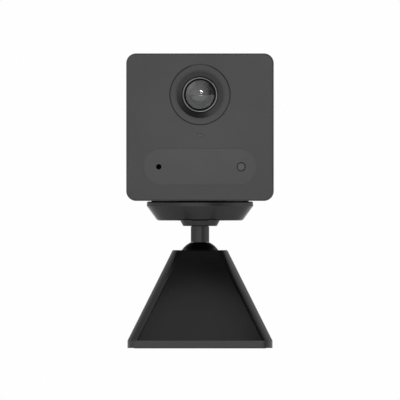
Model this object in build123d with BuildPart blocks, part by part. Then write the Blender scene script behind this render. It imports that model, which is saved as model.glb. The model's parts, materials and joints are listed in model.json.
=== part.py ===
"""Battery security camera: a cube head on a ball-jointed pyramid stand.

The frame is in millimetres with +Z up. The origin is the middle of the face that the stand
rests on, and the lens looks along -Y. Every separate piece is written to parts/NAME.step.
"""

from build123d import *
import math
import os

os.makedirs("parts", exist_ok=True)

# --------------------------------------------------------------------------------------
# Driving dimensions, in millimetres
# --------------------------------------------------------------------------------------

# Camera head: overall size and shell
head_width = 54.0
head_depth = 54.0
head_height = 54.0
head_corner = 3.6
head_edge = 0.7
wall = 2.0
cover_thickness = 2.0
lip_wall = 1.0
front_lip_length = 3.4
rear_lip_length = 3.0
fit_gap = 0.15

# Stand: pyramid, ball and the turned stack that carries the head
base_width = 53.1
base_corner = 3.85
shell_top_width = 20.0
shell_height = 36.0
shell_lift = 0.15
skirt_height = 2.7
shell_wall = 2.2
skirt_break = 0.5
ball_radius = 8.0
ball_sink = 4.4
seat_gap = 0.1
cup_wall = 1.1
cup_floor = 1.6
running_gap = 0.05
stem_radius = 3.36
stem_spigot_radius = 2.5
collar_rise = 13.2
collar_height = 2.0
collar_low_radius = 6.3
collar_high_radius = 7.25
plate_low_radius = 15.6
plate_radius = 19.45
plate_cone_height = 5.3
plate_rim_height = 1.7
plate_top_bevel = 0.4
plate_foot_round = 1.2
pad_radius = 17.9
pad_thickness = 1.4
pad_proud = 0.2
thread_radius = 3.175
thread_gap = 0.025
stud_engagement = 5.6
insert_radius = 5.0
insert_length = 6.0

# Inside the pyramid
socket_tube_wall = 1.7
plug_sink = 0.85
plug_height = 4.4
spring_thickness = 0.5
spring_cone = 0.85
spring_inner_radius = 3.6
foot_pad_thickness = 0.9
base_plate_thickness = 1.3
base_plate_gap = 0.2
magnet_radius = 16.0
magnet_thickness = 2.5
ballast_width = 35.0
ballast_height = 6.0
base_screw_pitch = 37.6
base_boss_radius = 2.6
base_screw_length = 7.0

# Lens and its rings, all on one axis
lens_rise = 38.9
bezel_radius = 11.05
bezel_gap = 0.15
bezel_proud = 0.3
bezel_bevel = 0.3
bezel_step_radius = 9.35
bezel_step_depth = 0.25
bezel_bore_radius = 8.9
bezel_flange = 0.55
bezel_flange_thickness = 0.8
hood_mouth_radius = 8.6
hood_throat_gap = 0.15
hood_sink = 0.1
hood_funnel_depth = 1.0
barrel_head_radius = 6.55
barrel_sink = 1.8
barrel_head_length = 4.2
barrel_thread_radius = 5.97
barrel_length = 13.4
trim_ring_inner = 5.8
trim_ring_height = 0.7
lens_radius = 5.25
lens_dome = 0.95
lens_edge = 2.3
lens_rim_proud = 0.5
inner_bore_radius = 4.4

# Lower window and what looks through it
window_rise = 12.5
window_length = 41.6
window_height = 13.2
window_thickness = 0.8
window_gap = 0.05
sensor_hole_offset = 15.1
microphone_hole_radius = 1.0
motion_hole_radius = 1.7
motion_lens_radius = 1.45
infrared_offset = 6.5
infrared_hole_radius = 3.0
status_rise = 24.3
status_length = 2.2
status_height = 1.1

# Moving filter behind the lens
holder_width = 25.0
holder_half_height = 5.8
filter_pitch = 6.6
filter_frame_length = 14.4
filter_frame_height = 9.4
filter_frame_thickness = 1.2
rotor_drop = 15.4
rotor_arm = 8.5
rotor_radius = 2.4
rotor_pin_radius = 0.4
coil_width = 13.0
coil_height = 7.4

# Boards, battery and frame
board_thickness = 1.0
main_board_thickness = 1.2
main_board_rise = 7.0
main_board_front_width = 44.8
main_board_rear_width = 36.4
sensor_board_width = 27.0
front_board_width = 43.0
frame_thickness = 1.6
frame_width = 39.0
battery_width = 34.0
battery_thickness = 12.0
battery_height = 37.5
tray_wall = 1.2

# Rear cover, its button, port flap and speaker
corner_screw_inset = 5.8
corner_boss_radius = 2.7
button_radius = 3.9
button_gap = 0.1
button_travel = 0.5
button_sink = 0.2
port_rise = 9.6
port_shift = -0.5
port_width = 30.0
port_height = 9.4
port_corner = 2.4
port_depth = 1.4
port_boss = 1.2
flap_gap = 0.2
flap_thickness = 1.3
hinge_radius = 0.75
hinge_pin_radius = 0.35
hinge_inset = 0.95
usb_offset = -8.0
usb_width = 8.94
usb_height = 3.26
card_offset = 7.0
card_width = 14.0
card_height = 1.9
reset_offset = 16.2
reset_hole_radius = 0.6
speaker_rise = 38.0
speaker_radius = 11.0
speaker_ring_gap = 0.2
speaker_hole_radius = 0.6
speaker_hole_rings = 3
speaker_hole_pitch = 2.6

# Small screws
board_screw_radius = 0.8
board_screw_head_radius = 1.6
board_screw_head_height = 0.9
corner_screw_radius = 1.0
corner_screw_head_radius = 1.9
recess_length = 2.1
recess_width = 0.5
recess_depth = 1.0
screw_pilot = 0.05

# --------------------------------------------------------------------------------------
# Places worked out from them
# --------------------------------------------------------------------------------------

ball_z = shell_height - ball_sink
collar_z = ball_z + collar_rise
plate_z = collar_z + collar_height
plate_rim_z = plate_z + plate_cone_height
plate_top_z = plate_rim_z + plate_rim_height
head_z = plate_top_z + pad_proud
head_middle_z = head_z + head_height / 2

front_y = -head_depth / 2
rear_y = head_depth / 2
panel_back_y = front_y + cover_thickness
cover_front_y = rear_y - cover_thickness
inner_width = head_width - 2 * wall
inner_height = head_height - 2 * wall
lip_width = inner_width - 2 * fit_gap
lip_height = inner_height - 2 * fit_gap
floor_z = head_z + wall

lens_z = head_z + lens_rise
window_z = head_z + window_rise
status_z = head_z + status_rise
port_z = head_z + port_rise
speaker_z = head_z + speaker_rise
speaker_ring_radius = speaker_radius + speaker_ring_gap + 0.9
port_boss_top_z = port_z + port_height / 2 + 1.0
button_z = (port_boss_top_z + speaker_z - speaker_ring_radius) / 2

bezel_front_y = front_y - bezel_proud
barrel_front_y = front_y + barrel_sink
barrel_rear_y = barrel_front_y + barrel_length
front_board_y = panel_back_y + 4.0
holder_front_y = barrel_rear_y + 1.0
filter_y = holder_front_y + 0.8
shroud_front_y = filter_y + filter_frame_thickness + 0.4
sensor_board_y = shroud_front_y + 3.9
frame_y = sensor_board_y + board_thickness + 0.9
frame_back_y = frame_y + frame_thickness
battery_y = frame_back_y + 0.2
main_board_z = head_z + main_board_rise
board_top_z = main_board_z + main_board_thickness
corner_boss_rear_y = cover_front_y - rear_lip_length - 0.2

lens_axis = Axis((0, 0, lens_z), (0, 1, 0))
cylinder_up = (Align.CENTER, Align.CENTER, Align.MIN)


def facing_front(y, x=0.0, z=0.0):
    """A plane that looks forwards, along -Y, with its first axis along +X and its second along +Z."""
    return Plane(origin=(x, y, z), x_dir=(1, 0, 0), z_dir=(0, -1, 0))


def facing_rear(y, x=0.0, z=0.0):
    """A plane that looks backwards, along +Y, with its second axis along +Z."""
    return Plane(origin=(x, y, z), x_dir=(-1, 0, 0), z_dir=(0, 1, 0))


def beside_axis(z):
    """A plane that holds the lens axis: its first axis is +Y and its second is the radius."""
    return Plane(origin=(0, 0, z), x_dir=(0, 1, 0), z_dir=(1, 0, 0))


def cap_middle(apex, edge, radius):
    """The middle point of a lens face that crosses the axis at apex and meets the rim at edge."""
    rise = edge - apex
    sphere = (radius**2 + rise**2) / (2 * rise)
    half_angle = math.asin(radius / sphere) / 2
    return (apex + sphere * (1 - math.cos(half_angle)), abs(sphere * math.sin(half_angle)))


def corner_points(pitch_x, pitch_y):
    """The four corners of a rectangle about the origin of a plane."""
    return [(sx * pitch_x / 2, sy * pitch_y / 2) for sx in (-1, 1) for sy in (-1, 1)]


def keep(builder, name):
    """Labels a finished piece and writes its STEP file."""
    builder.part.label = name
    export_step(builder.part, f"parts/{name}.step")


# --------------------------------------------------------------------------------------
# Stand
# --------------------------------------------------------------------------------------

skirt_top_z = shell_lift + skirt_height
slope = (base_width - shell_top_width) / (shell_height - skirt_top_z)
inside_width = base_width - 2 * shell_wall
inside_corner = base_corner - shell_wall
cup_radius = ball_radius + running_gap + cup_wall
socket_bore_radius = cup_radius + running_gap + 0.02
socket_tube_radius = socket_bore_radius + socket_tube_wall
cup_floor_z = ball_z - ball_radius - cup_floor
spring_stack = 2 * (spring_cone + spring_thickness)
spring_z = cup_floor_z - running_gap - spring_stack
plug_z = spring_z - plug_height
socket_tube_z = plug_z - plug_sink
roof_z = shell_height - 5.0

# The hollow inside the pyramid, round the tube that holds the ball.
with BuildPart() as shell_hollow:
    with BuildSketch(Plane.XY.offset(shell_lift)):
        RectangleRounded(inside_width, inside_width, inside_corner)
    extrude(amount=skirt_height)
    with BuildSketch(Plane.XY.offset(skirt_top_z)):
        RectangleRounded(inside_width, inside_width, inside_corner)
    with BuildSketch(Plane.XY.offset(roof_z)):
        roof_width = inside_width - slope * (roof_z - skirt_top_z)
        RectangleRounded(roof_width, roof_width, inside_corner)
    loft()
    with Locations((0, 0, socket_tube_z)):
        Cylinder(socket_tube_radius, shell_height, align=cylinder_up, mode=Mode.SUBTRACT)
    with BuildSketch(Plane.XY.offset(foot_pad_thickness + base_plate_thickness)):
        with GridLocations(base_screw_pitch, base_screw_pitch, 2, 2):
            Circle(base_boss_radius)
    extrude(amount=roof_z, mode=Mode.SUBTRACT)

with BuildPart() as pyramid_shell:
    with BuildSketch(Plane.XY.offset(shell_lift)):
        RectangleRounded(base_width, base_width, base_corner)
    extrude(amount=skirt_height)
    with BuildSketch(Plane.XY.offset(skirt_top_z)):
        RectangleRounded(base_width, base_width, base_corner)
    with BuildSketch(Plane.XY.offset(shell_height)):
        RectangleRounded(shell_top_width, shell_top_width, base_corner)
    loft()
    fillet(pyramid_shell.edges().group_by(Axis.Z)[-1], skirt_break)
    add(shell_hollow.part, mode=Mode.SUBTRACT)
    with Locations((0, 0, ball_z)):
        Sphere(ball_radius + seat_gap, mode=Mode.SUBTRACT)
    with Locations((0, 0, socket_tube_z)):
        Cylinder(
            socket_bore_radius, ball_z - socket_tube_z, align=cylinder_up, mode=Mode.SUBTRACT
        )
    with BuildSketch(Plane.XY.offset(foot_pad_thickness + base_plate_thickness)):
        with GridLocations(base_screw_pitch, base_screw_pitch, 2, 2):
            Circle(corner_screw_radius)
    extrude(amount=base_screw_length, mode=Mode.SUBTRACT)
keep(pyramid_shell, "pyramid_shell")

with BuildPart() as ball_cup:
    with Locations((0, 0, cup_floor_z)):
        Cylinder(cup_radius, ball_z - 0.6 - cup_floor_z, align=cylinder_up)
        Cylinder(cup_wall + 2.0, cup_floor + ball_radius, align=cylinder_up, mode=Mode.SUBTRACT)
    with Locations((0, 0, ball_z)):
        Sphere(ball_radius + running_gap, mode=Mode.SUBTRACT)
keep(ball_cup, "ball_cup")

# Two conical spring washers, mouth to mouth, press the cup up against the ball.
spring_outer_radius = cup_radius - 0.9
with BuildPart() as disc_springs:
    for low, high in ((0, 1), (1, 0)):
        base = spring_z if low == 0 else spring_z + spring_cone + spring_thickness
        inner_z = base + low * spring_cone
        outer_z = base + high * spring_cone
        with BuildSketch(Plane.XZ):
            Polygon(
                (spring_inner_radius, inner_z),
                (spring_outer_radius, outer_z),
                (spring_outer_radius, outer_z + spring_thickness),
                (spring_inner_radius, inner_z + spring_thickness),
                align=None,
            )
        revolve(axis=Axis.Z)
keep(disc_springs, "disc_springs")

plug_radius = socket_bore_radius - thread_gap
with BuildPart() as socket_plug:
    with Locations((0, 0, plug_z)):
        Cylinder(plug_radius, plug_height, align=cylinder_up)
        Cylinder(spring_inner_radius, plug_height, align=cylinder_up, mode=Mode.SUBTRACT)
        with PolarLocations((plug_radius + spring_inner_radius) / 2, 4):
            Cylinder(0.9, 2.0, align=cylinder_up, mode=Mode.SUBTRACT)
keep(socket_plug, "socket_plug")

base_plate_z = foot_pad_thickness
magnet_z = base_plate_z + base_plate_thickness
ballast_z = magnet_z + magnet_thickness + 0.2
plate_width = inside_width - 2 * base_plate_gap
with BuildPart() as foot_pad:
    with BuildSketch():
        RectangleRounded(plate_width, plate_width, inside_corner - base_plate_gap)
    extrude(amount=foot_pad_thickness)
keep(foot_pad, "foot_pad")

with BuildPart() as base_plate:
    with BuildSketch(Plane.XY.offset(base_plate_z)):
        RectangleRounded(plate_width, plate_width, inside_corner - base_plate_gap)
    extrude(amount=base_plate_thickness)
    with BuildSketch(Plane.XY.offset(magnet_z)):
        Circle(magnet_radius + 1.3)
        Circle(magnet_radius + 0.1, mode=Mode.SUBTRACT)
    extrude(amount=magnet_thickness)
    with Locations(Plane(origin=(0, 0, base_plate_z), z_dir=(0, 0, -1))):
        with GridLocations(base_screw_pitch, base_screw_pitch, 2, 2):
            CounterSinkHole(
                corner_screw_radius + fit_gap, corner_screw_head_radius + 0.1, counter_sink_angle=90
            )
keep(base_plate, "base_plate")

with BuildPart() as base_magnet:
    with Locations((0, 0, magnet_z)):
        Cylinder(magnet_radius, magnet_thickness, align=cylinder_up)
    chamfer(base_magnet.edges(), 0.3)
keep(base_magnet, "base_magnet")

with BuildPart() as ballast_plate:
    with BuildSketch(Plane.XY.offset(ballast_z)) as ballast_outline:
        Rectangle(ballast_width, ballast_width)
        chamfer(ballast_outline.vertices(), 2 * base_boss_radius)
    extrude(amount=ballast_height)
    with Locations((0, 0, ballast_z)):
        Cylinder(spring_inner_radius, ballast_height, align=cylinder_up, mode=Mode.SUBTRACT)
    fillet(ballast_plate.edges().group_by(Axis.Z)[-1], 0.6)
keep(ballast_plate, "ballast_plate")

with BuildPart() as base_screws:
    head_depth_of_screw = corner_screw_head_radius - corner_screw_radius
    with BuildSketch(Plane.XZ):
        with Locations((0, base_plate_z + 0.1)):
            Polygon(
                (0, 0.5),
                (0.5, 0),
                (corner_screw_head_radius, 0),
                (corner_screw_radius, head_depth_of_screw),
                (corner_screw_radius - screw_pilot, base_screw_length - 0.5),
                (0, base_screw_length),
                align=None,
            )
    one_base_screw = revolve(axis=Axis.Z, mode=Mode.PRIVATE)
    with GridLocations(base_screw_pitch, base_screw_pitch, 2, 2):
        add(one_base_screw)
keep(base_screws, "base_screws")

# --------------------------------------------------------------------------------------
# Ball, stem and mounting plate
# --------------------------------------------------------------------------------------

ball_flat_z = ball_z + math.sqrt(ball_radius**2 - stem_radius**2)
spigot_z = ball_z - 4.2
with BuildPart() as ball:
    with Locations((0, 0, ball_z)):
        Sphere(ball_radius)
    split(bisect_by=Plane.XY.offset(ball_flat_z), keep=Keep.BOTTOM)
    with Locations((0, 0, ball_z - ball_radius)):
        Cylinder(
            stem_spigot_radius + running_gap, 2 * ball_radius, align=cylinder_up, mode=Mode.SUBTRACT
        )
        Cylinder(
            stem_spigot_radius + 1.0,
            spigot_z + running_gap - ball_z + ball_radius,
            align=cylinder_up,
            mode=Mode.SUBTRACT,
        )
keep(ball, "ball")

stud_top_z = head_z + stud_engagement
with BuildPart() as stem:
    with BuildSketch(Plane.XZ):
        Polygon(
            (0, spigot_z),
            (stem_spigot_radius, spigot_z),
            (stem_spigot_radius, ball_flat_z + running_gap),
            (stem_radius, ball_flat_z + running_gap),
            (stem_radius, collar_z - 0.2),
            (thread_radius, collar_z - 0.2),
            (thread_radius, stud_top_z - 0.6),
            (thread_radius - 0.6, stud_top_z),
            (0, stud_top_z),
            align=None,
        )
    revolve(axis=Axis.Z)
    with Locations((0, 0, spigot_z)):
        Cylinder(1.25, 8.0, align=cylinder_up, mode=Mode.SUBTRACT)
keep(stem, "stem")

with BuildPart() as stem_screw:
    with Locations((0, 0, spigot_z)):
        Cylinder(1.25 - screw_pilot, 7.0, align=cylinder_up)
        Cylinder(stem_spigot_radius + 0.7, 1.6, align=(Align.CENTER, Align.CENTER, Align.MAX))
    chamfer(stem_screw.faces().sort_by(Axis.Z)[0].edges(), 0.3)
    with BuildSketch(Plane.XY.offset(spigot_z - 1.6)):
        RegularPolygon(1.15, 6)
    extrude(amount=1.0, mode=Mode.SUBTRACT)
keep(stem_screw, "stem_screw")

with BuildPart() as collar_nut:
    with BuildSketch(Plane.XZ):
        Polygon(
            (thread_radius + thread_gap, collar_z),
            (collar_low_radius - 0.2, collar_z),
            (collar_low_radius, collar_z + 0.2),
            (collar_high_radius, plate_z),
            (thread_radius + thread_gap, plate_z),
            align=None,
        )
    revolve(axis=Axis.Z)
keep(collar_nut, "collar_nut")

pad_floor_z = head_z - pad_thickness
rib_floor_z = plate_z + 1.8
rib_inner_radius = 6.2
rib_outer_radius = plate_low_radius - 1.2
with BuildPart() as mount_plate:
    with BuildSketch(Plane.XZ):
        Polygon(
            (thread_radius + fit_gap, plate_z),
            (plate_low_radius, plate_z),
            (plate_radius, plate_rim_z),
            (plate_radius, plate_top_z - plate_top_bevel),
            (plate_radius - plate_top_bevel, plate_top_z),
            (pad_radius, plate_top_z),
            (pad_radius, pad_floor_z),
            (thread_radius + fit_gap, pad_floor_z),
            align=None,
        )
    revolve(axis=Axis.Z)
    foot_edge = mount_plate.edges().filter_by(GeomType.CIRCLE).group_by(Axis.Z)[0]
    fillet(foot_edge.sort_by(SortBy.RADIUS)[-1], plate_foot_round)
    with BuildSketch(Plane.XY.offset(rib_floor_z)):
        Circle(rib_outer_radius)
        Circle(rib_inner_radius, mode=Mode.SUBTRACT)
        with PolarLocations(0, 3):
            Rectangle(2 * rib_outer_radius, 1.2, mode=Mode.SUBTRACT)
    extrude(until=Until.LAST, mode=Mode.SUBTRACT)
keep(mount_plate, "mount_plate")

with BuildPart() as plate_pad:
    with BuildSketch(Plane.XY.offset(pad_floor_z)):
        Circle(pad_radius - 0.05)
        Circle(thread_radius + 0.8, mode=Mode.SUBTRACT)
    extrude(amount=pad_thickness)
keep(plate_pad, "plate_pad")

# --------------------------------------------------------------------------------------
# Head shell
# --------------------------------------------------------------------------------------

corner_points_of_cover = corner_points(
    head_width - 2 * corner_screw_inset, head_height - 2 * corner_screw_inset
)
corner_block = corner_screw_inset - wall + 0.4 + corner_boss_radius
corner_block_points = corner_points(
    inner_width + 0.8 - corner_block, inner_height + 0.8 - corner_block
)
ledge_x = inner_width / 2 - 1.8
ledge_points = [(sx * ledge_x, rise) for sx in (-1, 1) for rise in (18.0, 46.0)]
main_screw_points = [(-17.0, -13.0), (17.0, -13.0), (-16.2, 7.8), (16.2, 7.8)]
corner_boss_length = corner_boss_rear_y - 5.0
snap_length = 10.0
snap_width = 0.8
snap_y = panel_back_y + front_lip_length - 1.1

with BuildPart() as housing:
    with BuildSketch(facing_rear(panel_back_y, z=head_middle_z)):
        RectangleRounded(head_width, head_height, head_corner)
        RectangleRounded(inner_width, inner_height, head_corner - wall, mode=Mode.SUBTRACT)
    extrude(amount=cover_front_y - panel_back_y)
    with BuildSketch(facing_front(corner_boss_rear_y, z=head_middle_z)):
        with Locations(*corner_block_points):
            RectangleRounded(corner_block, corner_block, 1.2)
    extrude(amount=corner_boss_length)
    with BuildSketch(facing_rear(frame_back_y, z=head_z)):
        for x, rise in ledge_points:
            with Locations((x, rise)):
                Rectangle(3.8, 6.0)
    extrude(amount=5.0)
    with BuildSketch(Plane.XY.offset(floor_z - 0.5)):
        with Locations(*main_screw_points):
            Circle(2.4)
    extrude(amount=main_board_z - floor_z + 0.5)
    with Locations((0, 0, floor_z - 0.5)):
        Cylinder(insert_radius + 2.2, insert_length - wall + 0.9, align=cylinder_up)
    with Locations((0, 0, head_z)):
        Cylinder(insert_radius, insert_length, align=cylinder_up, mode=Mode.SUBTRACT)
        Cylinder(thread_radius + fit_gap, 2 * insert_length, align=cylinder_up, mode=Mode.SUBTRACT)
    with BuildSketch(facing_front(corner_boss_rear_y, z=head_middle_z)):
        with Locations(*corner_points_of_cover):
            Circle(corner_screw_radius)
    extrude(amount=10.0, mode=Mode.SUBTRACT)
    with BuildSketch(facing_rear(frame_back_y, z=head_z)):
        with Locations(*ledge_points):
            Circle(board_screw_radius)
    extrude(amount=4.0, mode=Mode.SUBTRACT)
    with BuildSketch(Plane.XY.offset(main_board_z)):
        with Locations(*main_screw_points):
            Circle(board_screw_radius)
    extrude(amount=-4.0, mode=Mode.SUBTRACT)
    # Four grooves take the snap ridges of the front panel.
    with Locations((0, snap_y, head_middle_z)):
        Box(snap_length + 1.0, snap_width + 0.3, inner_height + 0.7, mode=Mode.SUBTRACT)
        Box(inner_width + 0.7, snap_width + 0.3, snap_length + 1.0, mode=Mode.SUBTRACT)
keep(housing, "housing")

with BuildPart() as thread_insert:
    with Locations((0, 0, head_z)):
        Cylinder(insert_radius, insert_length, align=cylinder_up)
        Cylinder(thread_radius + thread_gap, insert_length, align=cylinder_up, mode=Mode.SUBTRACT)
keep(thread_insert, "thread_insert")

front_board_screw_points = [(-19.0, status_rise), (19.0, status_rise)]
with BuildPart() as front_panel:
    with BuildSketch(facing_front(panel_back_y, z=head_middle_z)):
        RectangleRounded(head_width, head_height, head_corner)
    extrude(amount=cover_thickness)
    fillet(front_panel.faces().sort_by(Axis.Y)[0].edges(), head_edge)
    with BuildSketch(facing_rear(panel_back_y, z=head_middle_z)):
        RectangleRounded(lip_width, lip_height, head_corner - wall - fit_gap)
        RectangleRounded(
            lip_width - 2 * lip_wall, lip_height - 2 * lip_wall, 0.6, mode=Mode.SUBTRACT
        )
    extrude(amount=front_lip_length)
    with Locations((0, snap_y, head_middle_z)):
        for length_x, length_z in ((snap_length, lip_height + 0.7), (lip_width + 0.7, snap_length)):
            Box(length_x, snap_width, length_z)
        Box(
            lip_width - 2 * lip_wall,
            snap_width,
            lip_height - 2 * lip_wall,
            mode=Mode.SUBTRACT,
        )
    with BuildSketch(facing_rear(panel_back_y, z=head_z)):
        with Locations(*front_board_screw_points):
            Circle(1.9)
    extrude(amount=front_board_y - panel_back_y)
    with BuildSketch(facing_front(front_board_y, z=head_z)):
        with Locations(*front_board_screw_points):
            Circle(board_screw_radius)
    extrude(amount=3.6, mode=Mode.SUBTRACT)
    with BuildSketch(facing_front(panel_back_y, z=head_z)):
        with Locations((0, lens_rise)):
            Circle(bezel_radius + bezel_gap)
        with Locations((0, status_rise)):
            SlotOverall(status_length, status_height)
        with Locations((-sensor_hole_offset, window_rise)):
            Circle(microphone_hole_radius)
        with Locations((sensor_hole_offset, window_rise)):
            Circle(motion_hole_radius)
        with Locations((-infrared_offset, window_rise), (infrared_offset, window_rise)):
            Circle(infrared_hole_radius)
    extrude(amount=cover_thickness, mode=Mode.SUBTRACT)
    with BuildSketch(facing_front(front_y + window_thickness, z=window_z)):
        SlotOverall(window_length + 2 * window_gap, window_height + 2 * window_gap)
    extrude(amount=window_thickness, mode=Mode.SUBTRACT)
keep(front_panel, "front_panel")

with BuildPart() as infrared_window:
    with BuildSketch(facing_front(front_y + window_thickness, z=window_z)):
        SlotOverall(window_length, window_height)
        with Locations((-sensor_hole_offset, 0)):
            Circle(microphone_hole_radius, mode=Mode.SUBTRACT)
        with Locations((sensor_hole_offset, 0)):
            Circle(motion_hole_radius, mode=Mode.SUBTRACT)
    extrude(amount=window_thickness)
keep(infrared_window, "infrared_window")

# --------------------------------------------------------------------------------------
# Lens and its rings
# --------------------------------------------------------------------------------------

bezel_back_y = panel_back_y + bezel_flange_thickness
with BuildPart() as lens_bezel:
    with BuildSketch(beside_axis(lens_z)):
        Polygon(
            (bezel_front_y, bezel_radius - bezel_bevel),
            (bezel_front_y + bezel_bevel, bezel_radius),
            (panel_back_y, bezel_radius),
            (panel_back_y, bezel_radius + bezel_flange),
            (bezel_back_y, bezel_radius + bezel_flange),
            (bezel_back_y, bezel_bore_radius),
            (bezel_front_y + bezel_step_depth, bezel_bore_radius),
            (bezel_front_y + bezel_step_depth, bezel_step_radius),
            (bezel_front_y, bezel_step_radius),
            align=None,
        )
    revolve(axis=lens_axis)
keep(lens_bezel, "lens_bezel")

hood_front_y = front_y + hood_sink
hood_throat_y = hood_front_y + hood_funnel_depth
hood_outer_radius = bezel_bore_radius - running_gap
hood_throat_radius = barrel_head_radius + hood_throat_gap
with BuildPart() as lens_hood:
    with BuildSketch(beside_axis(lens_z)):
        Polygon(
            (hood_front_y, hood_outer_radius),
            (hood_front_y, hood_mouth_radius),
            (hood_throat_y, hood_throat_radius),
            (bezel_back_y, hood_throat_radius),
            (bezel_back_y, hood_outer_radius),
            align=None,
        )
    revolve(axis=lens_axis)
keep(lens_hood, "lens_hood")

lens_rim_y = barrel_front_y - lens_rim_proud
lens_seat_y = lens_rim_y + lens_edge
with BuildPart() as lens_barrel:
    with BuildSketch(beside_axis(lens_z)):
        Polygon(
            (barrel_front_y, barrel_head_radius),
            (barrel_front_y, lens_radius + running_gap),
            (lens_seat_y, lens_radius + running_gap),
            (lens_seat_y, inner_bore_radius),
            (barrel_rear_y - 2.2, inner_bore_radius),
            (barrel_rear_y - 2.2, inner_bore_radius - 0.8),
            (barrel_rear_y, inner_bore_radius - 0.8),
            (barrel_rear_y, barrel_thread_radius),
            (barrel_front_y + barrel_head_length, barrel_thread_radius),
            (barrel_front_y + barrel_head_length, barrel_head_radius),
            align=None,
        )
    revolve(axis=lens_axis)
keep(lens_barrel, "lens_barrel")

trim_ring_front_y = barrel_front_y - trim_ring_height
with BuildPart() as lens_trim_ring:
    with BuildSketch(beside_axis(lens_z)):
        with Locations((barrel_front_y, trim_ring_inner)):
            Rectangle(
                trim_ring_height,
                barrel_head_radius - 0.05 - trim_ring_inner,
                align=(Align.MAX, Align.MIN),
            )
    revolve(axis=lens_axis)
    fillet(lens_trim_ring.faces().sort_by(Axis.Y)[0].edges(), 0.3)
keep(lens_trim_ring, "lens_trim_ring")

lens_apex_y = lens_rim_y - lens_dome
lens_back_radius = inner_bore_radius - 0.5
with BuildPart() as front_lens:
    with BuildSketch(beside_axis(lens_z)):
        with BuildLine():
            ThreePointArc(
                (lens_apex_y, 0),
                cap_middle(lens_apex_y, lens_rim_y, lens_radius),
                (lens_rim_y, lens_radius),
            )
            Polyline(
                (lens_rim_y, lens_radius),
                (lens_seat_y, lens_radius),
                (lens_seat_y, lens_back_radius),
            )
            ThreePointArc(
                (lens_seat_y, lens_back_radius),
                cap_middle(lens_seat_y - 1.4, lens_seat_y, lens_back_radius),
                (lens_seat_y - 1.4, 0),
            )
            Line((lens_seat_y - 1.4, 0), (lens_apex_y, 0))
        make_face()
    revolve(axis=lens_axis)
keep(front_lens, "front_lens")

with BuildPart() as inner_lenses:
    for middle_y, half_thickness in ((lens_seat_y + 3.4, 1.3), (barrel_rear_y - 3.9, 1.1)):
        rim = inner_bore_radius - 0.02
        front_apex, back_apex = middle_y - half_thickness, middle_y + half_thickness
        front_rim, back_rim = middle_y - half_thickness / 2, middle_y + half_thickness / 2
        with BuildSketch(beside_axis(lens_z)):
            with BuildLine():
                ThreePointArc(
                    (front_apex, 0), cap_middle(front_apex, front_rim, rim), (front_rim, rim)
                )
                Line((front_rim, rim), (back_rim, rim))
                ThreePointArc(
                    (back_rim, rim), cap_middle(back_apex, back_rim, rim), (back_apex, 0)
                )
                Line((back_apex, 0), (front_apex, 0))
            make_face()
        revolve(axis=lens_axis)
keep(inner_lenses, "inner_lenses")

# --------------------------------------------------------------------------------------
# Lens holder and the filter that slides behind the lens
# --------------------------------------------------------------------------------------

filter_travel = filter_pitch
carrier_x = filter_travel / 2
rotor_z = lens_z - rotor_drop
pin_angle = math.asin(filter_travel / 2 / rotor_arm)
pin_low_z = rotor_z + rotor_arm * math.cos(pin_angle)
pin_high_z = rotor_z + rotor_arm
arm_y = filter_y + filter_frame_thickness + 0.3
arm_thickness = 0.8
holder_tube_length = 8.7
channel_half_height = filter_frame_height / 2 + 0.2
channel_half_length = carrier_x + filter_frame_length / 2 + 0.3

with BuildPart() as lens_holder:
    with BuildSketch(facing_front(shroud_front_y, z=lens_z)):
        Rectangle(holder_width, 2 * holder_half_height)
    extrude(amount=shroud_front_y - holder_front_y)
    with BuildSketch(facing_front(holder_front_y, z=lens_z)):
        Circle(barrel_thread_radius + 1.7)
    extrude(amount=holder_tube_length)
    with BuildSketch(facing_front(shroud_front_y, z=lens_z)):
        Rectangle(2 * channel_half_length, 2 * channel_half_height)
        with Locations((0, -channel_half_height - 1.0)):
            Rectangle(filter_travel + 3.4, 3.0)
    extrude(amount=shroud_front_y - filter_y + 0.2, mode=Mode.SUBTRACT)
    with BuildSketch(facing_front(filter_y, z=lens_z)):
        Circle(inner_bore_radius - 0.8)
    extrude(amount=filter_y - holder_front_y + 1.0, mode=Mode.SUBTRACT)
    with BuildSketch(facing_front(holder_front_y, z=lens_z)):
        Circle(barrel_thread_radius + 0.04)
    extrude(amount=holder_tube_length, mode=Mode.SUBTRACT)
keep(lens_holder, "lens_holder")

with BuildPart() as sensor_shroud:
    with BuildSketch(facing_front(sensor_board_y, z=lens_z)):
        Rectangle(holder_width, 2 * holder_half_height)
        Rectangle(10.0, 8.6, mode=Mode.SUBTRACT)
    extrude(amount=sensor_board_y - shroud_front_y)
    with BuildSketch(facing_rear(shroud_front_y, z=lens_z)):
        Rectangle(10.0, 8.6)
        Rectangle(7.4, 6.6, mode=Mode.SUBTRACT)
    extrude(amount=0.9)
    # A notch along the lower edge leaves the arm room.
    with BuildSketch(facing_rear(shroud_front_y, z=lens_z - holder_half_height)):
        Rectangle(filter_travel + 5.0, 1.2)
    extrude(amount=arm_thickness + 0.6, mode=Mode.SUBTRACT)
keep(sensor_shroud, "sensor_shroud")

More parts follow.
